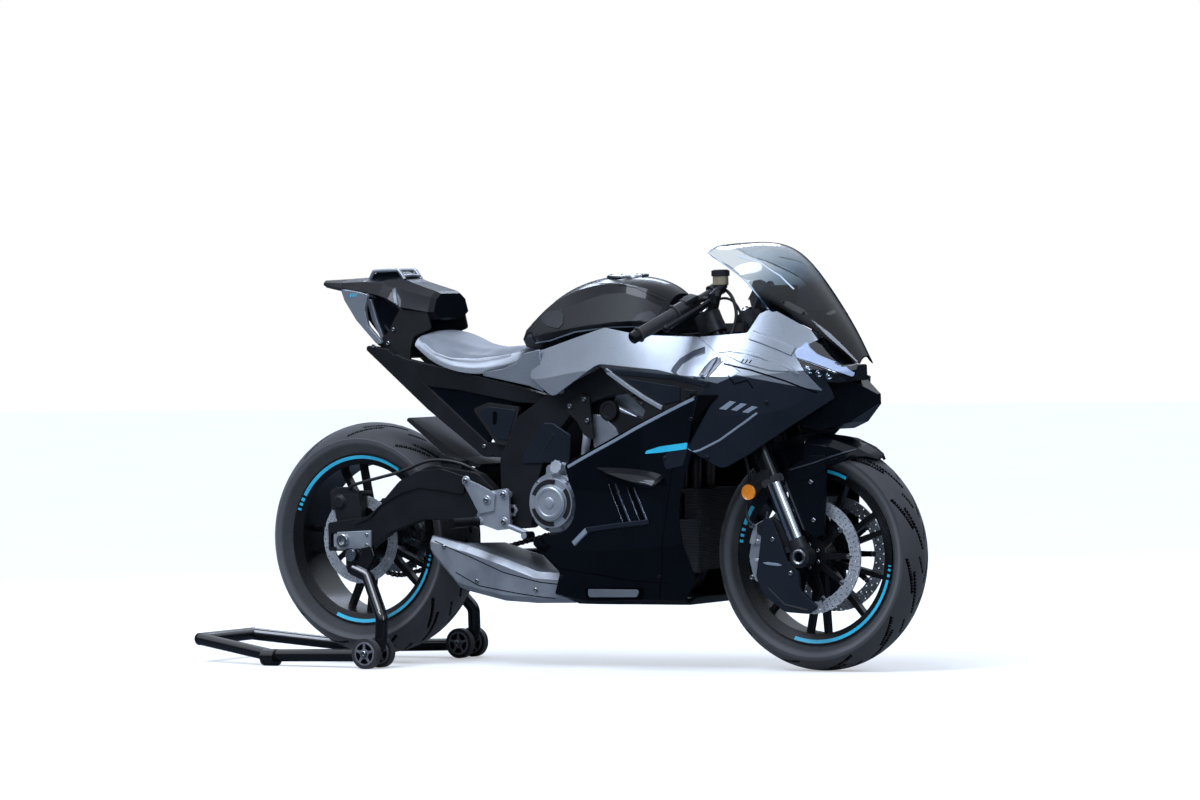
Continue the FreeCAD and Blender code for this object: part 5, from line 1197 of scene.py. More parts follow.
def riderSeat():
    # The cover is blown up a little over the foam, with a smooth pale side band and an embossed top.
    values = {
        "voxelMm": 6.0, "pressure": 4.0, "frames": 20, "capMm": 7.0, "stiffness": 12,
        "pinnedBelow": -0.2,
        "bandRear": -0.368, "smoothing": 0.6, "smoothTurns": 6, "weltWidth": 3, "weltHeight": 4.0,
        "weltRun": (-340, -70, 15),
        # Columns: x, height of the band's upper edge.
        "band": ((-0.384, 0.880), (-0.338, 0.866), (-0.296, 0.842), (-0.239, 0.826), (-0.161, 0.822),
                 (-0.105, 0.829), (-0.063, 0.842))}
    source = nodes["rider_seat"]
    obj = bpy.data.objects.new("seat_cushion", source.data.copy())
    obj.matrix_world = source.matrix_world.copy()
    scene = bpy.context.scene
    scene.collection.objects.link(obj)
    bpy.context.view_layer.objects.active = obj
    obj.select_set(True)
    obj.data.remesh_voxel_size = values["voxelMm"] / 1000
    with bpy.context.temp_override(active_object=obj, object=obj, selected_objects=[obj]):
        bpy.ops.object.voxel_remesh()
    mesh = obj.data
    before = [v.co.copy() for v in mesh.vertices]
    group = obj.vertex_groups.new(name="pinned")
    group.add([v.index for v in mesh.vertices if v.normal.z < values["pinnedBelow"]], 1.0, "REPLACE")
    cloth = obj.modifiers.new("Cover", "CLOTH")
    cloth.settings.use_pressure = True
    cloth.settings.uniform_pressure_force = values["pressure"]
    cloth.settings.vertex_group_mass = "pinned"
    cloth.settings.effector_weights.gravity = 0.0
    cloth.settings.tension_stiffness = values["stiffness"]
    cloth.point_cache.frame_start, cloth.point_cache.frame_end = 1, values["frames"]
    for step in range(1, values["frames"] + 1):
        scene.frame_set(step)
    with bpy.context.temp_override(active_object=obj, object=obj, selected_objects=[obj]):
        bpy.ops.object.modifier_apply(modifier=cloth.name)
    scene.frame_set(1)
    mesh = obj.data
    cap = values["capMm"] / 1000
    for v, old in zip(mesh.vertices, before):
        moved = v.co - old
        if moved.length > cap:
            v.co = old + moved.normalized() * cap
    mesh.materials.clear()
    mesh.materials.append(made["embossedSeatVinyl"])
    mesh.materials.append(made["smoothSeatVinyl"])

    def bandLevel(x):
        rows = values["band"]
        x = max(rows[0][0], min(rows[-1][0], x))
        for (x0, z0), (x1, z1) in zip(rows, rows[1:]):
            if x <= x1:
                return z0 + (z1 - z0) * (x - x0) / (x1 - x0)
        return rows[-1][1]
    mesh.polygons.foreach_set("use_smooth", [True] * len(mesh.polygons))
    for face in mesh.polygons:
        x, _, z = face.center
        face.material_index = 1 if z < bandLevel(x) or x < values["bandRear"] else 0
    smooth = obj.modifiers.new("Smooth", "SMOOTH")
    smooth.factor, smooth.iterations = values["smoothing"], values["smoothTurns"]
    obj.modifiers.new("Fine", "SUBSURF").render_levels = 1
    obj.select_set(False)
    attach(obj, "chassis")
    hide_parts("rider_seat")
    # Welt along the band, laid on the cushion.
    line = [(x, bandLevel(x / 1000) * 1000) for x in range(*values["weltRun"])]
    trim("seat_welt", "smoothSeatVinyl",
         [(("rider_seat",), line, values["weltWidth"], values["weltHeight"])])


def tailDetails():
    values = {
        "facet": ((-462, 1016), (-452, 1000), (-432, 965), (-414, 940)),
        "hollow": ((-588, 1003, 4), (-500, 988, 4), (-440, 962, 4), (-446, 900, 10), (-478, 872, 4),
                   (-500, 880, 6), (-552, 940, 12)),
        "blade": ((-544, 986), (-530, 988), (-512, 930), (-492, 884), (-502, 884), (-528, 932)),
        "web": ((-440, 838, 10), (-400, 818, 10), (-235, 748, 20), (-60, 706, 8), (-110, 640, 8),
                (-148, 592, 8), (-330, 702, 20)),
        "corner": ((-150, 778, 3), (-143, 788, 4), (-78, 796, 20), (-28, 812, 20), (-4, 836, 6),
                   (50, 846, 3), (60, 734, 3), (10, 750, 30)),
        "cornerFrom": (60, 148), "cornerSlope": 0.13,
        "hoop": ((-560, 1043), (-550, 1060), (-540, 1064), (-476, 1065), (-464, 1061), (-448, 1040)),
        "hoopHalf": 40, "hoopRadius": 5.0,
        "crossbar": ((-454, -40, 1048), (-452, 0, 1050), (-454, 40, 1048)),
        "padHalf": 38, "padDrop": 4, "liner": (70, 76), "blades": (76, 84), "webs": (98, 112),
        "marks": (-574, -566, -558), "markFoot": 996, "markTop": 1004, "markRun": 4,
        # Columns: x, height, distance from the middle.
        "bolts": ((-470, 868, 92.5), (-452, 905, 92.5), (-500, 862, 118.5), (-150, 590, 118.5)),
        "cover": ((-160, 684, 6), (-128, 696, 6), (-40, 686, 6), (-66, 606, 8), (-98, 608, 6)),
        "slot": ((-112, 680, 4), (-102, 679, 4), (-106, 650, 4), (-114, 652, 4))}
    trim("tail_facet", "satinGraphiteFilm", [(("tail_cowl",), values["facet"], 11, 1.2)])
    shape = bmesh.new()
    for side, _ in sides:
        line = [(x, side * values["hoopHalf"], z) for x, z in values["hoop"]]
        tube(shape, line, values["hoopRadius"], 12, 4)
    tube(shape, values["crossbar"], values["hoopRadius"], 12, 4)
    shown("tail_hoop", shape, "satinSilverPaint", "chassis")
    shape = bmesh.new()
    half = values["padHalf"]
    slab(shape, [(x, z - values["padDrop"], 4) for x, z in values["hoop"]], -half, half)
    shown("tail_pad", shape, "clearCoatedBlackAbs", "chassis", (), 35, 2.0)
    # Behind each hollow fin stand a dark plate and a thin silver blade; the subframe is closed by a web.
    far, out = values["cornerFrom"]
    for side, tag in sides:
        shape = bmesh.new()
        sidePlate(shape, values["hollow"], values["liner"], side)
        sidePlate(shape, values["web"], values["webs"], side)
        shown("fin_liner_" + tag, shape, "clearCoatedBlackAbs", "chassis", (), 35, 1.0)
        shape = bmesh.new()
        sidePlate(shape, values["blade"], values["blades"], side)
        shown("fin_blade_" + tag, shape, "satinSilverPaint", "chassis", (), 35, 1.0)
        shape = bmesh.new()
        place = boarded((far, side * out, 0), (1, side * values["cornerSlope"], 0), (0, 0, 1))
        slab(shape, [(x - far, *rest) for x, *rest in values["corner"]], -2, 2, place)
        shown("seat_corner_" + tag, shape, "satinSilverPaint", "chassis", (), 35, 1.5)
        shape = bmesh.new()
        for x, z, y in values["bolts"]:
            bolt(shape, (x, side * y, z), (0, side, 0), 5.5, 4)
        shown("tail_bolts_" + tag, shape, "zincPlatedSteel", "chassis")
    trim("fin_marks", "cyanVinylFilm",
         [(("tail_fins",), ((x, values["markFoot"]), (x + values["markRun"], values["markTop"])), 5, 0.3)
          for x in values["marks"]])
    covers = ("subframe_covers",)
    trim("cover_skin", "satinGraphitePaint",
         [(covers, values["cover"], None, 1.2)], 30, 8.0)
    # Painted shade: a dark patch in the cover's slot stands in for the shade inside it.
    trim("cover_slot", "panelGapShadow", [(covers, values["slot"], None, 1.6)], 35, 8.0)


fairingTrim()
infillPanels()
winglets()
lampUnit()
screenDetails()
tankDetails()
riderSeat()
tailDetails()
print("bodywork done")

# Front end: reflectors, brakes, handlebars and hoses. Profiles are radius and distance from the seat.

forkWay = Vector((-0.3987, 0, 0.9171))


def forkSpot(height, y):
    # A point on the axis of a fork leg at this height.
    return Vector((815.0 - 0.4348 * (height - 300.0), y, height))


def frontEnd():
    values = {
        "reflector": (676, 468), "lensSeat": 133, "backSeat": 131,
        "lens": ((0, 0), (19, 0), (20, 1.5), (20, 6), (18.5, 7.2), (17, 6.4), (0, 7.4)),
        "lensBack": ((0, 0), (22, 0), (22, 3), (0, 3)),
        "strap": ((662, 462, 3), (664, 486, 3), (714, 526, 3), (738, 526, 3), (738, 502, 3),
                  (716, 500, 6)),
        "strapFaces": (126.5, 133),
        "halves": (((712, 400, 10), (672, 382, 12), (656, 334, 6), (672, 330, 4), (684, 366, 8),
                    (706, 380, 6)),
                   ((672, 296, 4), (656, 292, 6), (670, 238, 12), (712, 228, 10), (706, 250, 6),
                    (686, 264, 8))),
        "halfFaces": (98.5, 106), "pistons": ((684, 350), (680, 276)), "pistonSeat": 98,
        "piston": ((0, 0), (20, 0), (20, 5), (17, 7), (8, 7), (7, 6), (0, 6)),
        # Columns: x, distance from the middle, z, head radius, head height.
        "caliperBolts": ((668, 105, 381, 8, 9), (664, 105, 246, 7, 6)),
        "ductBolts": ((738, 123.6, 345, 6.5, 4), (790, 123.6, 258, 6.5, 4)),
        "bleeder": ((699, 86, 399), (704, 88, 416)), "bleederRadius": 4,
        "axleRing": ((13.2, 0), (13.2, 4), (17, 5.5), (20, 4.5), (21, 2), (21, 0)),
        "axle": (815, 122.6, 300),
        "ductFold": ((708, 285), (764, 279)), "ductCurve": ((722, 220), (770, 178), (838, 164)),
        "fenderFold": ((774, 524), (849, 543), (926, 568), (958, 577)),
        "fenderPanel": ((780, 516, 6), (849, 536, 30), (926, 561, 30), (960, 571, 6), (984, 560, 6),
                        (940, 548, 20), (839, 503, 20), (792, 492, 6)),
        "fenderBolts": ((836, 492), (842, 394)), "legs": 103, "sealAt": 500, "capAt": 936,
        "seal": ((21.8, -12), (27.5, -12), (29.5, -8), (29.5, 4), (27.2, 6)),
        "tubeCap": ((0, 10), (8, 10), (9, 5), (17, 4), (19, 0), (19, -3)),
        "chrome": (372, 497), "chromeRadius": 21.6}
    lens, straps, body, metal = (bmesh.new() for _ in range(4))
    dark, pale, panel, foldHighlights = (bmesh.new() for _ in range(4))
    ducts, fender = ("brake_ducts",), ("front_fender",)
    for side in (-1, 1):
        out = (0, side, 0)
        x, z = values["reflector"]
        lathe(lens, values["lens"], (x, side * values["lensSeat"], z), out, 40)
        sidePlate(straps, values["strap"], values["strapFaces"], side)
        lathe(straps, values["lensBack"], (x, side * values["backSeat"], z), out, 40)
        for half in values["halves"]:
            sidePlate(body, half, values["halfFaces"], side)
        for x, z in values["pistons"]:
            lathe(body, values["piston"], (x, side * values["pistonSeat"], z), out, 28)
        for x, y, z, radius, height in values["caliperBolts"]:
            bolt(metal, (x, side * y, z), out, radius, height)
        rod(metal, *((x, side * y, z) for x, y, z in values["bleeder"]), values["bleederRadius"], 12)
        for x, y, z, radius, height in values["ductBolts"]:
            bolt(metal, (x, side * y, z), out, radius, height)
        x, y, z = values["axle"]
        lathe(metal, values["axleRing"], (x, side * y, z), out, 48)
        # Painted highlight: a pale tapered band along the duct's fold.
        strip(pale, ducts, values["ductFold"], 8, 1.2, side, taper=True)
        strip(dark, ducts, values["ductCurve"], 4, 0.8, side)
        patch(panel, fender, values["fenderPanel"], 1.6, side)
        # Painted highlight: a lighter raised line along the fender's fold.
        strip(foldHighlights, fender, values["fenderFold"], 4, 2.4, side)
        for x, z in values["fenderBolts"]:
            bolt(metal, onSide(("front_fender", "fork_sliders"), x, z, side) * 1000, out, 6, 5)
        # Dust seal, tube cap and adjuster.
        y = side * values["legs"]
        lathe(dark, values["seal"], forkSpot(values["sealAt"], y), forkWay, 40)
        lathe(metal, values["tubeCap"], forkSpot(values["capAt"], y), forkWay, 24)
    shown("reflector_lenses", lens, "prismaticReflector", "steering",
          ("side_reflectors",), 30)
    shown("reflector_straps", straps, "grainedAbs", "steering", (), 35, 0.8)
    shown("caliper_bodies", body, "dieCastAluminium", "steering", (), 35, 1.5)
    shown("front_end_bolts", metal, "zincPlatedSteel", "steering")
    shown("fork_seals", dark, "mouldedGripRubber", "steering")
    legs = bmesh.new()
    for side in (-1, 1):
        low, high = (forkSpot(height, side * values["legs"]) for height in values["chrome"])
        radius = values["chromeRadius"]
        lathe(legs, [(radius, 0), (radius, (high - low).length)], low, forkWay, 72)
    shown("fork_chrome", legs, "hardChrome", "steering")
    shown("duct_folds", pale, "greyVinylFilm", "steering")
    shown("fender_panels", panel, "clearCoatedBlackAbs", "steering", (), 30)
    shown("fender_folds", foldHighlights, "satinGraphiteFilm", "steering")


def handleBars():
    values = {
        "root": (574, 115, 991), "end": (466, 352, 872), "grip": 125, "cap": 22, "gap": 3,
        "radius": 17.2, "ribs": 19, "ribPitch": 6.0, "ribFrom": 10,
        # Columns: depth and place of one rib's corners.
        "rib": ((0, 0), (0, 4.2), (0.9, 4.6), (0.9, 5.6)),
        "collar": ((11.2, 0), (23, 0), (24, 1.5), (24, 5), (18, 7)),
        "flange": ((21, 125), (21, 128), (11.2, 128)),
        "weight": ((7.2, 4), (7.2, 23), (13, 23.4), (16, 20), (16, 3), (12, 2)),
        "switchAt": 86, "switchHalf": 22, "switchFaces": (-18, 14),
        "button": ((-12, 4, 3), (2, 4, 3), (2, 14, 3), (-12, 14, 3)), "buttonFaces": (-20, -17),
        "pot": (592, -114, 1004), "potBody": ((0, -1), (18, -1), (20.6, 2), (20.6, 24), (0, 24)),
        "capRadii": (23.8, 22.6), "capRibs": 48, "capFaces": (24, 38),
        "capTop": ((0, 41), (17, 41), (20, 39.5), (20.5, 38), (0, 38))}
    rubber, ends, switches = bmesh.new(), bmesh.new(), bmesh.new()
    for side in (-1, 1):
        root, end = (Vector((x, side * y, z)) for x, y, z in (values["root"], values["end"]))
        way = (end - root).normalized()
        foot = end - way * (values["cap"] + values["grip"] + values["gap"])
        profile, radius = list(values["collar"]), values["radius"]
        for k in range(values["ribs"]):
            at = values["ribFrom"] + k * values["ribPitch"]
            profile += [(radius - deep, at + run) for deep, run in values["rib"]]
        profile += [(radius, 124), *values["flange"]]
        lathe(rubber, profile, foot, way, 40)
        lathe(ends, values["weight"], end - way * values["cap"], way, 32)
        # Switch housing with two buttons on the rider's side.
        up = way.cross(Vector((1, 0, 0))).normalized() * side
        place = boarded(root + way * values["switchAt"], way, up if up.z > 0 else -up)
        half = values["switchHalf"]
        corners = [(x * half, y * half, 6) for x, y in ((-1, -1), (1, -1), (1, 1), (-1, 1))]
        slab(switches, corners, *values["switchFaces"], place)
        slab(ends, values["button"], *values["buttonFaces"], place)
    shown("bar_grips", rubber, "mouldedGripRubber", "steering", (), 25)
    shown("bar_ends", ends, "hardAnodisedAluminium", "steering")
    shown("bar_switches", switches, "grainedAbs", "steering", (), 35, 1.5)
    # Fluid pot: translucent body below a ribbed screw cap.
    foot = Vector(values["pot"])
    pot, cap = bmesh.new(), bmesh.new()
    lathe(pot, values["potBody"], foot, (0, 0, 1), 40)
    ribs = around(values["capRibs"], values["capRadii"])
    slab(cap, ribs, *values["capFaces"], boarded(foot, (1, 0, 0), (0, 1, 0)))
    lathe(cap, values["capTop"], foot, (0, 0, 1), 32)
    shown("fluid_pot_body", pot, "smokedNylonPot", "steering", (), 30)
    shown("fluid_pot_cap", cap, "grainedAbs", "steering", (), 25)


def hoses():
    # Clipped at both ends. Columns: piece, radius, body, slot, points of the right hand or only hose.
    paired = (("brake_hose", 4.5, "steering", "fork_black",
               ((560, -128, 968), (571, -112, 1000), (616, -108, 990), (639, -110, 933), (629, -116, 887),
                (612, -142, 836), (588, -142, 790), (586, -130, 740), (600, -114, 690), (640, -108, 600),
                (668, -108, 500), (652, -110, 430), (655, -112, 398), (670, -112, 384))),
              ("control_cable", 3.5, "steering", "fork_black",
               ((540, -132, 938), (579, -112, 974), (630, -104, 966), (654, -98, 896), (640, -92, 850),
                (612, -80, 812))))
    single = (("rear_brake_hose", 4.5, "chassis", "control_alloy",
               ((-604, -100, 466), (-590, -120, 484), (-549, -134, 492), (-483, -134, 507),
                (-402, -134, 524), (-320, -134, 556), (-240, -132, 552), (-180, -124, 530),
                (-150, -110, 505))),
              ("coolant_hose", 14, "chassis", "radiator_alloy",
               ((430, -100, 300), (410, -124, 310), (380, -132, 340), (340, -128, 372))))
    for side, tag in sides:
        for name, radius, body, slotName, line in paired:
            points = [(x, y * -side, z) for x, y, z in line]
            hose(name + "_" + tag, points, radius, "hoseRubber", body)
    for name, radius, body, slotName, line in single:
        hose(name, line, radius, "hoseRubber", body)


def dash():
    values = {
        "centre": (693, 0, 973), "slope": (14, 0, 58), "faces": (-3, 1),
        "outline": ((-62, -24, 8), (62, -24, 8), (62, 25, 8), (-62, 25, 8))}
    shape = bmesh.new()
    slab(shape, values["outline"], *values["faces"], boarded(values["centre"], (0, 1, 0), values["slope"]))
    shown("dash_display", shape, "coatedDisplayGlass", "chassis", (), 35, 0.8)


# Engine, footrests, swingarm and chain

def engineDetails():
    values = {
        "clutch": (105, 442), "clutchBolts": 9, "clutchCircle": 71.5, "clutchFace": -177.6,
        "slots": (15, 135, 255), "slotSweep": 84, "slotFace": -194, "capFace": -202,
        "slot": ((50, 0), (50, 1), (62, 1), (62, 0)),
        "clutchCap": ((0, 4), (13, 4), (15, 3), (15, 1), (32, 1), (34, 2.6), (40, 2.6), (43, 0)),
        "frameCover": ((-15, 544, 6), (-11, 566, 8), (56, 652, 6), (84, 650, 6), (138, 620, 8),
                       (133, 547, 8)),
        "coverFaces": (137.6, 144), "coverSlot": ((52, 572), (86, 622)),
        "bracket": ((125, 700, 6), (176, 728, 6), (201, 718, 6), (205, 657, 20), (212, 604, 6),
                    (182, 618, 6), (160, 655, 10), (131, 679, 6)),
        "bracketFaces": (137.6, 145), "bracketBolts": ((184, 713), (140, 695), (193, 657)),
        "pivot": ((8, 0), (8, 4), (12, 6), (17, 5), (18, 0)), "pivotAt": (-52, 137.6, 420),
        "knobAim": (0.15, -1, 0.25), "knobFrom": (110, -128, 522), "knobReach": 55,
        "knobRadii": (16.5, 19), "knobRibs": 18, "knobFaces": (-6, 8),
        "head": ((197, 674, 6), (230, 668, 8), (268, 634, 8), (304, 560, 12), (228, 536, 10),
                 (198, 590, 10)), "headFaces": (-125, -117),
        "rail": ((257, -108, 692), (327, -108, 661)), "railRadius": 8,
        "intake": ((0, 10), (16, 10), (18, 12), (26, 12), (28, 9), (28, 0)),
        "intakeAt": (247, -116, 682),
        "pipe": ((174, -124, 646), (184, -134, 618), (180, -134, 590), (168, -120, 566)),
        "pipeRadius": 11, "leftBolts": 8, "leftCircle": 62, "leftCentre": (240, 169.6, 400),
        "fins": 6, "finFoot": 548, "finPitch": 16, "finShift": 8, "finEnds": (176, 300),
        "finFall": 24, "finThick": 4, "finFaces": (117, 123),
        "ribs": (110, 150, 190, 230), "ribThick": 5, "ribSpan": (290, 360), "ribFaces": (127, 133)}
    metal, dark, bolts, grey = (bmesh.new() for _ in range(4))
    x, z = values["clutch"]
    for ahead, above in around(values["clutchBolts"], values["clutchCircle"], 0.3):
        bolt(bolts, (x + ahead, values["clutchFace"], z + above), (0, -1, 0), 5, 5)
    for start in values["slots"]:
        end = start + values["slotSweep"]
        lathe(dark, values["slot"], (x, values["slotFace"], z), (0, -1, 0), 20, start, end)
    lathe(metal, values["clutchCap"], (x, values["capFace"], z), (0, -1, 0), 56)
    axis = Vector(values["knobAim"]).normalized()
    place = boarded(Vector(values["knobFrom"]) + axis * values["knobReach"], (1, 0, 0),
                    axis.cross(Vector((1, 0, 0))))
    slab(metal, around(values["knobRibs"], values["knobRadii"]), *values["knobFaces"], place)
    slab(metal, values["head"], *values["headFaces"])
    rod(metal, *values["rail"], values["railRadius"], 16)
    lathe(dark, values["intake"], values["intakeAt"], (0, -1, 0), 32)
    for side in (-1, 1):
        sidePlate(grey, values["frameCover"], values["coverFaces"], side)
        strip(dark, ("main_frame",), values["coverSlot"], 11, 6.5, side)
        sidePlate(dark, values["bracket"], values["bracketFaces"], side)
        for x, z in values["bracketBolts"]:
            bolt(bolts, (x, side * 144.6, z), (0, side, 0), 7, 5)
        x, y, z = values["pivotAt"]
        lathe(metal, values["pivot"], (x, side * y, z), (0, side, 0), 6)
    tube(metal, values["pipe"], values["pipeRadius"], 20)
    x, y, z = values["leftCentre"]
    for ahead, above in around(values["leftBolts"], values["leftCircle"]):
        bolt(bolts, (x + ahead, y, z + above), (0, 1, 0), 5, 5)
    shown("engine_cover_discs", metal, "dieCastAluminium", "chassis", (), 30, 0.8)
    shown("engine_dark_bits", dark, "grainedAbs", "chassis", (), 30)
    shown("engine_bolts", bolts, "zincPlatedSteel", "chassis")
    shown("frame_covers", grey, "satinGraphitePaint", "chassis", (), 35, 1.5)
    # Cylinder fins and case ribs, seen through the gap above the lower fairing.
    ribs = bmesh.new()
    low, high = values["ribSpan"]
    for side in (-1, 1):
        for k in range(values["fins"]):
            foot, shift = values["finFoot"] + k * values["finPitch"], k * values["finShift"]
            rear, ahead = (end + shift for end in values["finEnds"])
            fall, thick = values["finFall"], values["finThick"]
            corners = [(rear, foot), (ahead, foot - fall), (ahead, foot - fall + thick),
                       (rear, foot + thick)]
            sidePlate(ribs, corners, values["finFaces"], side)
        for x in values["ribs"]:
            over = x + values["ribThick"]
            corners = [(x, low, 2), (over, low, 2), (over, high, 2), (x, high, 2)]
            sidePlate(ribs, corners, values["ribFaces"], side)
    shown("engine_ribs", ribs, "blackCastAluminium", "chassis", (), 35, 0.8)


def footrestDetails():
    values = {
        "plateBolts": ((-62, 462, 164), (-62, 390, 164), (-112, 448, 170), (-176, 500, 170)),
        "ring": ((0, 0), (13, 0), (13, 2), (11, 3.4), (0, 3.4)), "ringSink": 0.4, "boltSeat": 2.8,
        "peg": ((-138, 156, 392), (-172, 252, 390)), "pegRoot": ((11, 18), (16, 18), (17, 20)),
        "pegTip": ((14, 98), (14, 102), (0, 103)), "grooves": 13, "groovePitch": 5.4,
        # Columns: radius and place of one groove's corners.
        "groove": ((13.4, 26), (13.4, 28.6), (12.0, 29.4), (12.0, 30.8)),
        "lever": ((8, -2), (10.5, 0), (10.5, 36), (8, 38)), "leverAt": (26, 168, 356)}
    bolts, rings, grips = bmesh.new(), bmesh.new(), bmesh.new()
    for side in (-1, 1):
        out = (0, side, 0)
        for x, z, face in values["plateBolts"]:
            lathe(rings, values["ring"], (x, side * (face - values["ringSink"]), z), out, 24)
            bolt(bolts, (x, side * (face + values["boltSeat"]), z), out, 7.5, 5)
        start, end = (Vector((x, side * y, z)) for x, y, z in values["peg"])
        profile = list(values["pegRoot"])
        for k in range(values["grooves"]):
            profile += [(radius, at + k * values["groovePitch"]) for radius, at in values["groove"]]
        lathe(grips, profile + list(values["pegTip"]), start, (end - start).normalized(), 24)
        x, y, z = values["leverAt"]
        lathe(grips, values["lever"], (x, side * y, z), out, 20)
    shown("footrest_bolts", bolts, "zincPlatedSteel", "chassis")
    shown("footrest_rings", rings, "dieCastAluminium", "chassis")
    shown("footrest_grips", grips, "hardAnodisedAluminium", "chassis", (), 30)


def swingarmDetails():
    values = {
        "raised": ((-566, 376, 6), (-500, 398, 40), (-432, 470, 40), (-392, 508, 20), (-340, 526, 40),
                   (-265, 532, 30), (-186, 510, 10), (-196, 462, 10), (-275, 474, 20),
                   (-339, 480, 20), (-394, 466, 20), (-460, 436, 20), (-520, 404, 10)),
        "block": ((-607, 361, 4), (-496, 366, 4), (-497, 314, 4), (-608, 314, 4)),
        "blockFaces": (152.4, 160), "axle": (-585, 338.5), "nutSeat": 159.4,
        "nut": ((9.2, 0), (9.2, 9), (11, 10), (16, 10), (18, 8), (18, 0)),
        "adjuster": (-548, -500), "adjusterY": 135, "adjusterRadius": 5, "lockNutAt": -516,
        "lockNut": ((5, 0), (9, 0), (9, 8), (5, 8)), "plateBolts": ((-508, 326), (-508, 354)),
        "caliper": ((-660, 468, 8), (-640, 480, 6), (-600, 482, 8), (-566, 470, 8), (-560, 430, 8),
                    (-604, 410, 8), (-654, 420, 8)), "caliperFaces": (-113, -107.5),
        "cap": ((0, 10), (15, 10), (17, 8), (17, 5), (20, 5), (21, 3), (21, 0)),
        "capAt": (-626, -112, 440)}
    arm, block, bolts, cap = (bmesh.new() for _ in range(4))
    axleX, axleZ = values["axle"]
    for side in (-1, 1):
        out, y = (0, side, 0), side * values["adjusterY"]
        patch(arm, ("swingarm",), values["raised"], 4.0, side)
        sidePlate(block, values["block"], values["blockFaces"], side)
        lathe(bolts, values["nut"], (axleX, side * values["nutSeat"], axleZ), out, 36)
        rod(bolts, *((x, y, axleZ) for x in values["adjuster"]), values["adjusterRadius"], 16)
        lathe(bolts, values["lockNut"], (values["lockNutAt"], y, axleZ), (1, 0, 0), 6)
        for x, z in values["plateBolts"]:
            bolt(bolts, (x, side * 159.6, z), out, 5, 4)
    slab(cap, values["caliper"], *values["caliperFaces"])
    lathe(cap, values["cap"], values["capAt"], (0, -1, 0), 32)
    shown("swingarm_panels", arm, "satinFramePaint", "chassis", (), 35, 2.0)
    shown("axle_plates", block, "dieCastAluminium", "chassis", (), 35, 1.0)
    shown("axle_nuts", bolts, "zincPlatedSteel", "chassis", (), 30)
    shown("rear_caliper_cap", cap, "blackCastAluminium", "chassis", (), 35, 1.0)


def chainLinks():
    # Plates and rollers round the loop of the chain, and the teeth of the rear sprocket.
    values = {
        "big": 107.0, "small": 47.0, "links": 114, "y": 106.0, "teeth": 42, "plateRadius": 7,
        "waist": 4.6, "inner": (4.4, 6.0), "outer": (6.0, 7.7),
        # Columns: half length, radius, sides and chamfer of a link's pin and roller.
        "rollers": ((7.9, 2.8, 10, 0.4), (4.4, 5.2, 12, 0.3)), "root": 97.5, "tooth": 6.5,
        # Columns: distance from the axle or None for the tooth's tip, place across.
        "toothSection": ((92, 102.8), (None, 103.6), (None, 108.4), (92, 109.2))}
    rear, front = Vector((-585, 0, 338.5)), Vector((70, 0, 430))
    away = front - rear
    tilt = math.atan2(away.z, away.x)
    turn = math.acos((values["big"] - values["small"]) / away.length)
    loop = []

    def arc(centre, radius, start, end, count):
        for k in range(count + 1):
            angle = start + (end - start) * k / count
            loop.append(centre + Vector((math.cos(angle), 0, math.sin(angle))) * radius)
    arc(front, values["small"], tilt + turn, tilt - turn, 60)
    arc(rear, values["big"], tilt - turn, tilt + turn - 2 * math.pi, 120)
    loop.append(loop[0].copy())
    lengths = [0.0]
    for a, b in zip(loop, loop[1:]):
        lengths.append(lengths[-1] + (b - a).length)

    def at(distance):
        distance %= lengths[-1]
        low, high = 0, len(lengths) - 1
        while high - low > 1:
            middle = (low + high) // 2
            low, high = (middle, high) if lengths[middle] <= distance else (low, middle)
        share = (distance - lengths[low]) / max(1e-6, lengths[high] - lengths[low])
        return loop[low].lerp(loop[high], share)
    plates, rollers = bmesh.new(), bmesh.new()
    pitch, radius, waist = lengths[-1] / values["links"], values["plateRadius"], values["waist"]
    for k in range(values["links"]):
        a, b = at(k * pitch), at((k + 1) * pitch)
        place = boarded((a + b) / 2 + Vector((0, values["y"], 0)), b - a, Vector((0, 1, 0)).cross(b - a))
        outline = []
        for centre, start in ((pitch / 2, -90), (-pitch / 2, 90)):
            for step in (20, 60, 90, 120, 160):
                angle = math.radians(start + step)
                outline.append((centre + math.cos(angle) * radius, math.sin(angle) * radius))
            outline.append((0, math.copysign(waist, centre)))
        low, high = values["inner"] if k % 2 else values["outer"]
        for side in (-1, 1):
            slab(plates, outline, side * low, side * high, place)
        for half, thick, count, chamfer in values["rollers"]:
            ends = (a + Vector((0, values["y"] + half * side, 0)) for side in (-1, 1))
            rod(rollers, *ends, thick, count, chamfer)
    shown("chain_plates", plates, "oiledChainSteel", "chassis", ("drive_chain",), 30)
    shown("chain_rollers", rollers, "zincPlatedSteel", "chassis")
    teeth, rings = bmesh.new(), []
    count = values["teeth"] * 6
    for k in range(count + 1):
        angle = 2 * math.pi * k / count
        tip = values["root"] + values["tooth"] * max(0.0, math.sin(angle * values["teeth"])) ** 0.6
        along = Vector((math.cos(angle), 0, math.sin(angle)))
        rings.append([rear + along * (tip if reach is None else reach) + Vector((0, y, 0))
                      for reach, y in values["toothSection"]])
    ringLoft(teeth, rings, False)
    shown("sprocket_teeth", teeth, "zincPlatedSteel", "rear_wheel", (), 30)


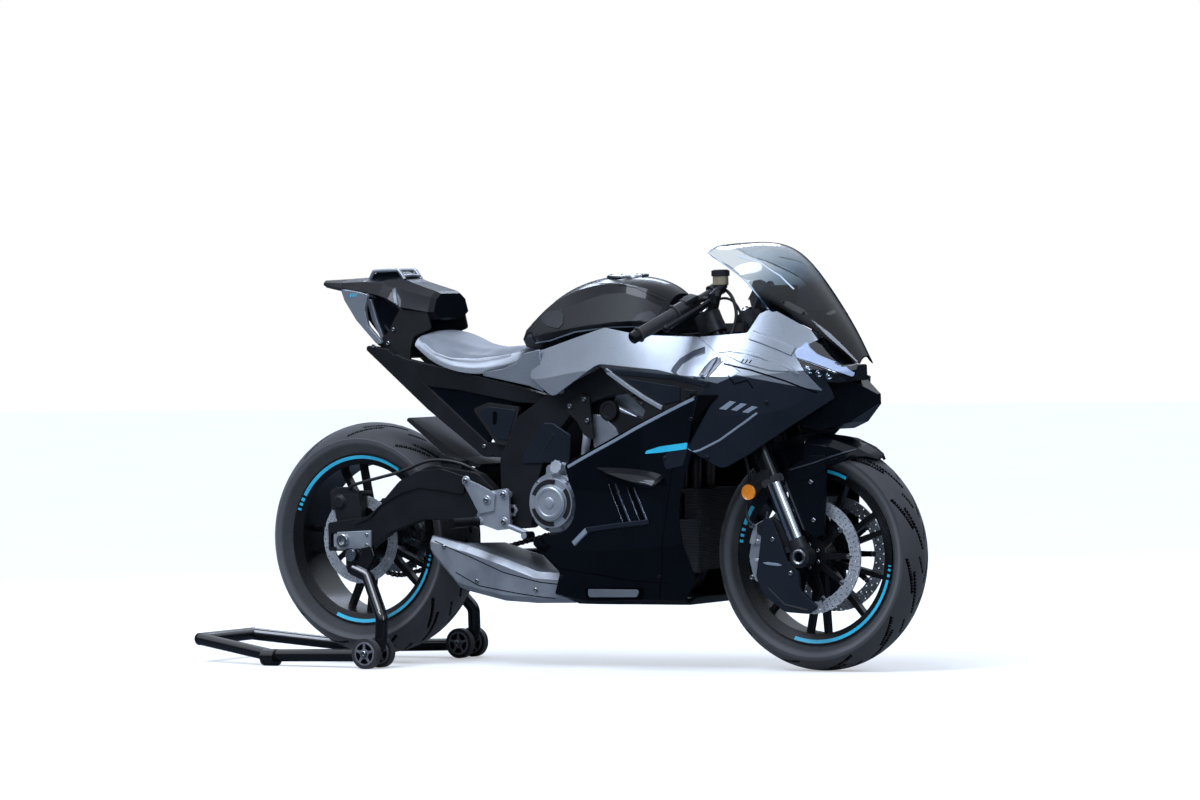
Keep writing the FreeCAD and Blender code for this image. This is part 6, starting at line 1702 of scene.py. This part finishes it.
def shockAbsorber():
    values = {
        "top": (6, 0, 690), "foot": (-150, 0, 450), "turns": 7.5, "steps": 20, "coilFrom": 46,
        "coilLength": 160, "coilRadius": 29, "wire": 5.5,
        "body": ((0, 0), (12, 0), (12, 34), (33, 34), (35, 37), (35, 41), (20, 42), (20, 120),
                 (8, 122), (8, 206), (34, 207), (35, 211), (33, 215), (16, 216), (16, 240),
                 (14, 280), (0, 286))}
    foot = Vector(values["foot"])
    way = (Vector(values["top"]) - foot).normalized()
    across, up = axes(way)
    coil, body, points = bmesh.new(), bmesh.new(), []
    count = values["turns"] * values["steps"]
    for k in range(int(count) + 1):
        share = k / count
        angle = 2 * math.pi * values["turns"] * share
        middle = foot + way * (values["coilFrom"] + values["coilLength"] * share)
        points.append(middle + (across * math.cos(angle) + up * math.sin(angle)) * values["coilRadius"])
    tube(coil, points, values["wire"], 12, 0)
    shown("shock_spring", coil, "springLacquer", "chassis", ("rear_shock",), 40)
    lathe(body, values["body"], foot, way, 40)
    shown("shock_body", body, "hardAnodisedAluminium", "chassis")


def silencerDetails():
    values = {
        "seams": (((-306, 338), (-185, 298), (-74, 256), (36, 230), (100, 222)),
                  ((-231, 255), (-155, 220), (-28, 200), (72, 187))),
        "bolts": ((23, 210), (-160, 232), (-270, 322)), "pipeAt": (-317, -118, 326),
        "pipeAim": (-1, 0, 0.25), "pipe": ((9, -2), (9, 8), (12, 9), (15, 7), (15, -2)),
        "hole": ((0, 5), (9.2, 5), (9.2, 4))}
    seams, bolts, outlet, dark = (bmesh.new() for _ in range(4))
    names = ("exhaust_silencer",)
    for line in values["seams"]:
        strip(seams, names, line, 3, 0.25, -1)
    for x, z in values["bolts"]:
        bolt(bolts, onSide(names, x, z, -1) * 1000, (0, -1, 0), 6, 4)
    lathe(outlet, values["pipe"], values["pipeAt"], values["pipeAim"], 32)
    # Painted shade: a dark disc inside the outlet pipe stands in for the shade in its bore.
    lathe(dark, values["hole"], values["pipeAt"], values["pipeAim"], 24)
    shown("silencer_seams", seams, "panelGapShadow", "chassis")
    shown("silencer_bolts", bolts, "zincPlatedSteel", "chassis")
    shown("silencer_outlet", outlet, "heatTintedSteel", "chassis")
    shown("outlet_hole", dark, "panelGapShadow", "chassis")


def standDetails():
    values = {
        "axle": (-449, 41), "wheels": (193, 260), "halfWidth": 10, "spokes": 5, "firstSpoke": 0.3,
        "recess": ((12, 0.3), (29, 0.3), (29, 0)), "rim": ((27, 0), (27, 1.6), (31, 1.6), (32, 0)),
        "hub": ((9.6, 0), (9.6, 2.4), (13, 2.4), (14, 0)),
        "spoke": ((12, -4), (28, -3), (28, 3), (12, 4)), "spokeFaces": (-0.2, 1.8),
        # Columns: distance from the middle, direction.
        "bolts": ((180, -1), (272, 1)),
        "cradle": ((-518, 320, 4), (-484, 326, 6), (-474, 297, 8), (-500, 258, 8), (-532, 250, 4),
                   (-524, 276, 4)), "cradleFaces": (160, 177)}
    axleX, axleZ = values["axle"]
    low, high = values["spokeFaces"]
    for side, tag in sides:
        hubs, bolts, recess = bmesh.new(), bmesh.new(), bmesh.new()
        body = "stand_wheels_" + tag
        for y in values["wheels"]:
            for face in (-1, 1):
                base, way = (axleX, side * y + face * values["halfWidth"], axleZ), (0, face, 0)
                # Painted shade: a dark disc inside each hub, under the spokes, stands in for the shade in
                # the recess.
                lathe(recess, values["recess"], base, way, 40)
                lathe(hubs, values["rim"], base, way, 40)
                lathe(hubs, values["hub"], base, way, 24)
                for k in range(values["spokes"]):
                    turn = 2 * math.pi * k / values["spokes"] + values["firstSpoke"]
                    along = Vector((math.cos(turn), 0, math.sin(turn)))
                    place = boarded(Vector(base), along, Vector((-along.z, 0, along.x)))
                    faces = sorted((low * face, -high * face)) if place.col[2].y * face < 0 else (low, high)
                    slab(hubs, values["spoke"], *faces, place)
        shown("stand_hubs_" + tag, hubs, "springLacquer", body, (), 35)
        shown("stand_hub_recesses_" + tag, recess, "panelGapShadow", body)
        for y, face in values["bolts"]:
            bolt(bolts, (axleX, side * y, axleZ), (0, side * face, 0), 9, 5)
        shown("stand_bolts_" + tag, bolts, "zincPlatedSteel", "chassis")
    cast = bmesh.new()
    for side in (-1, 1):
        sidePlate(cast, values["cradle"], values["cradleFaces"], side)
    shown("stand_cradles", cast, "glossTubeEnamel", "chassis", (), 35, 2.0)


frontEnd()
handleBars()
hoses()
dash()
engineDetails()
footrestDetails()
swingarmDetails()
chainLinks()
shockAbsorber()
silencerDetails()
standDetails()
print("mechanical pieces done")
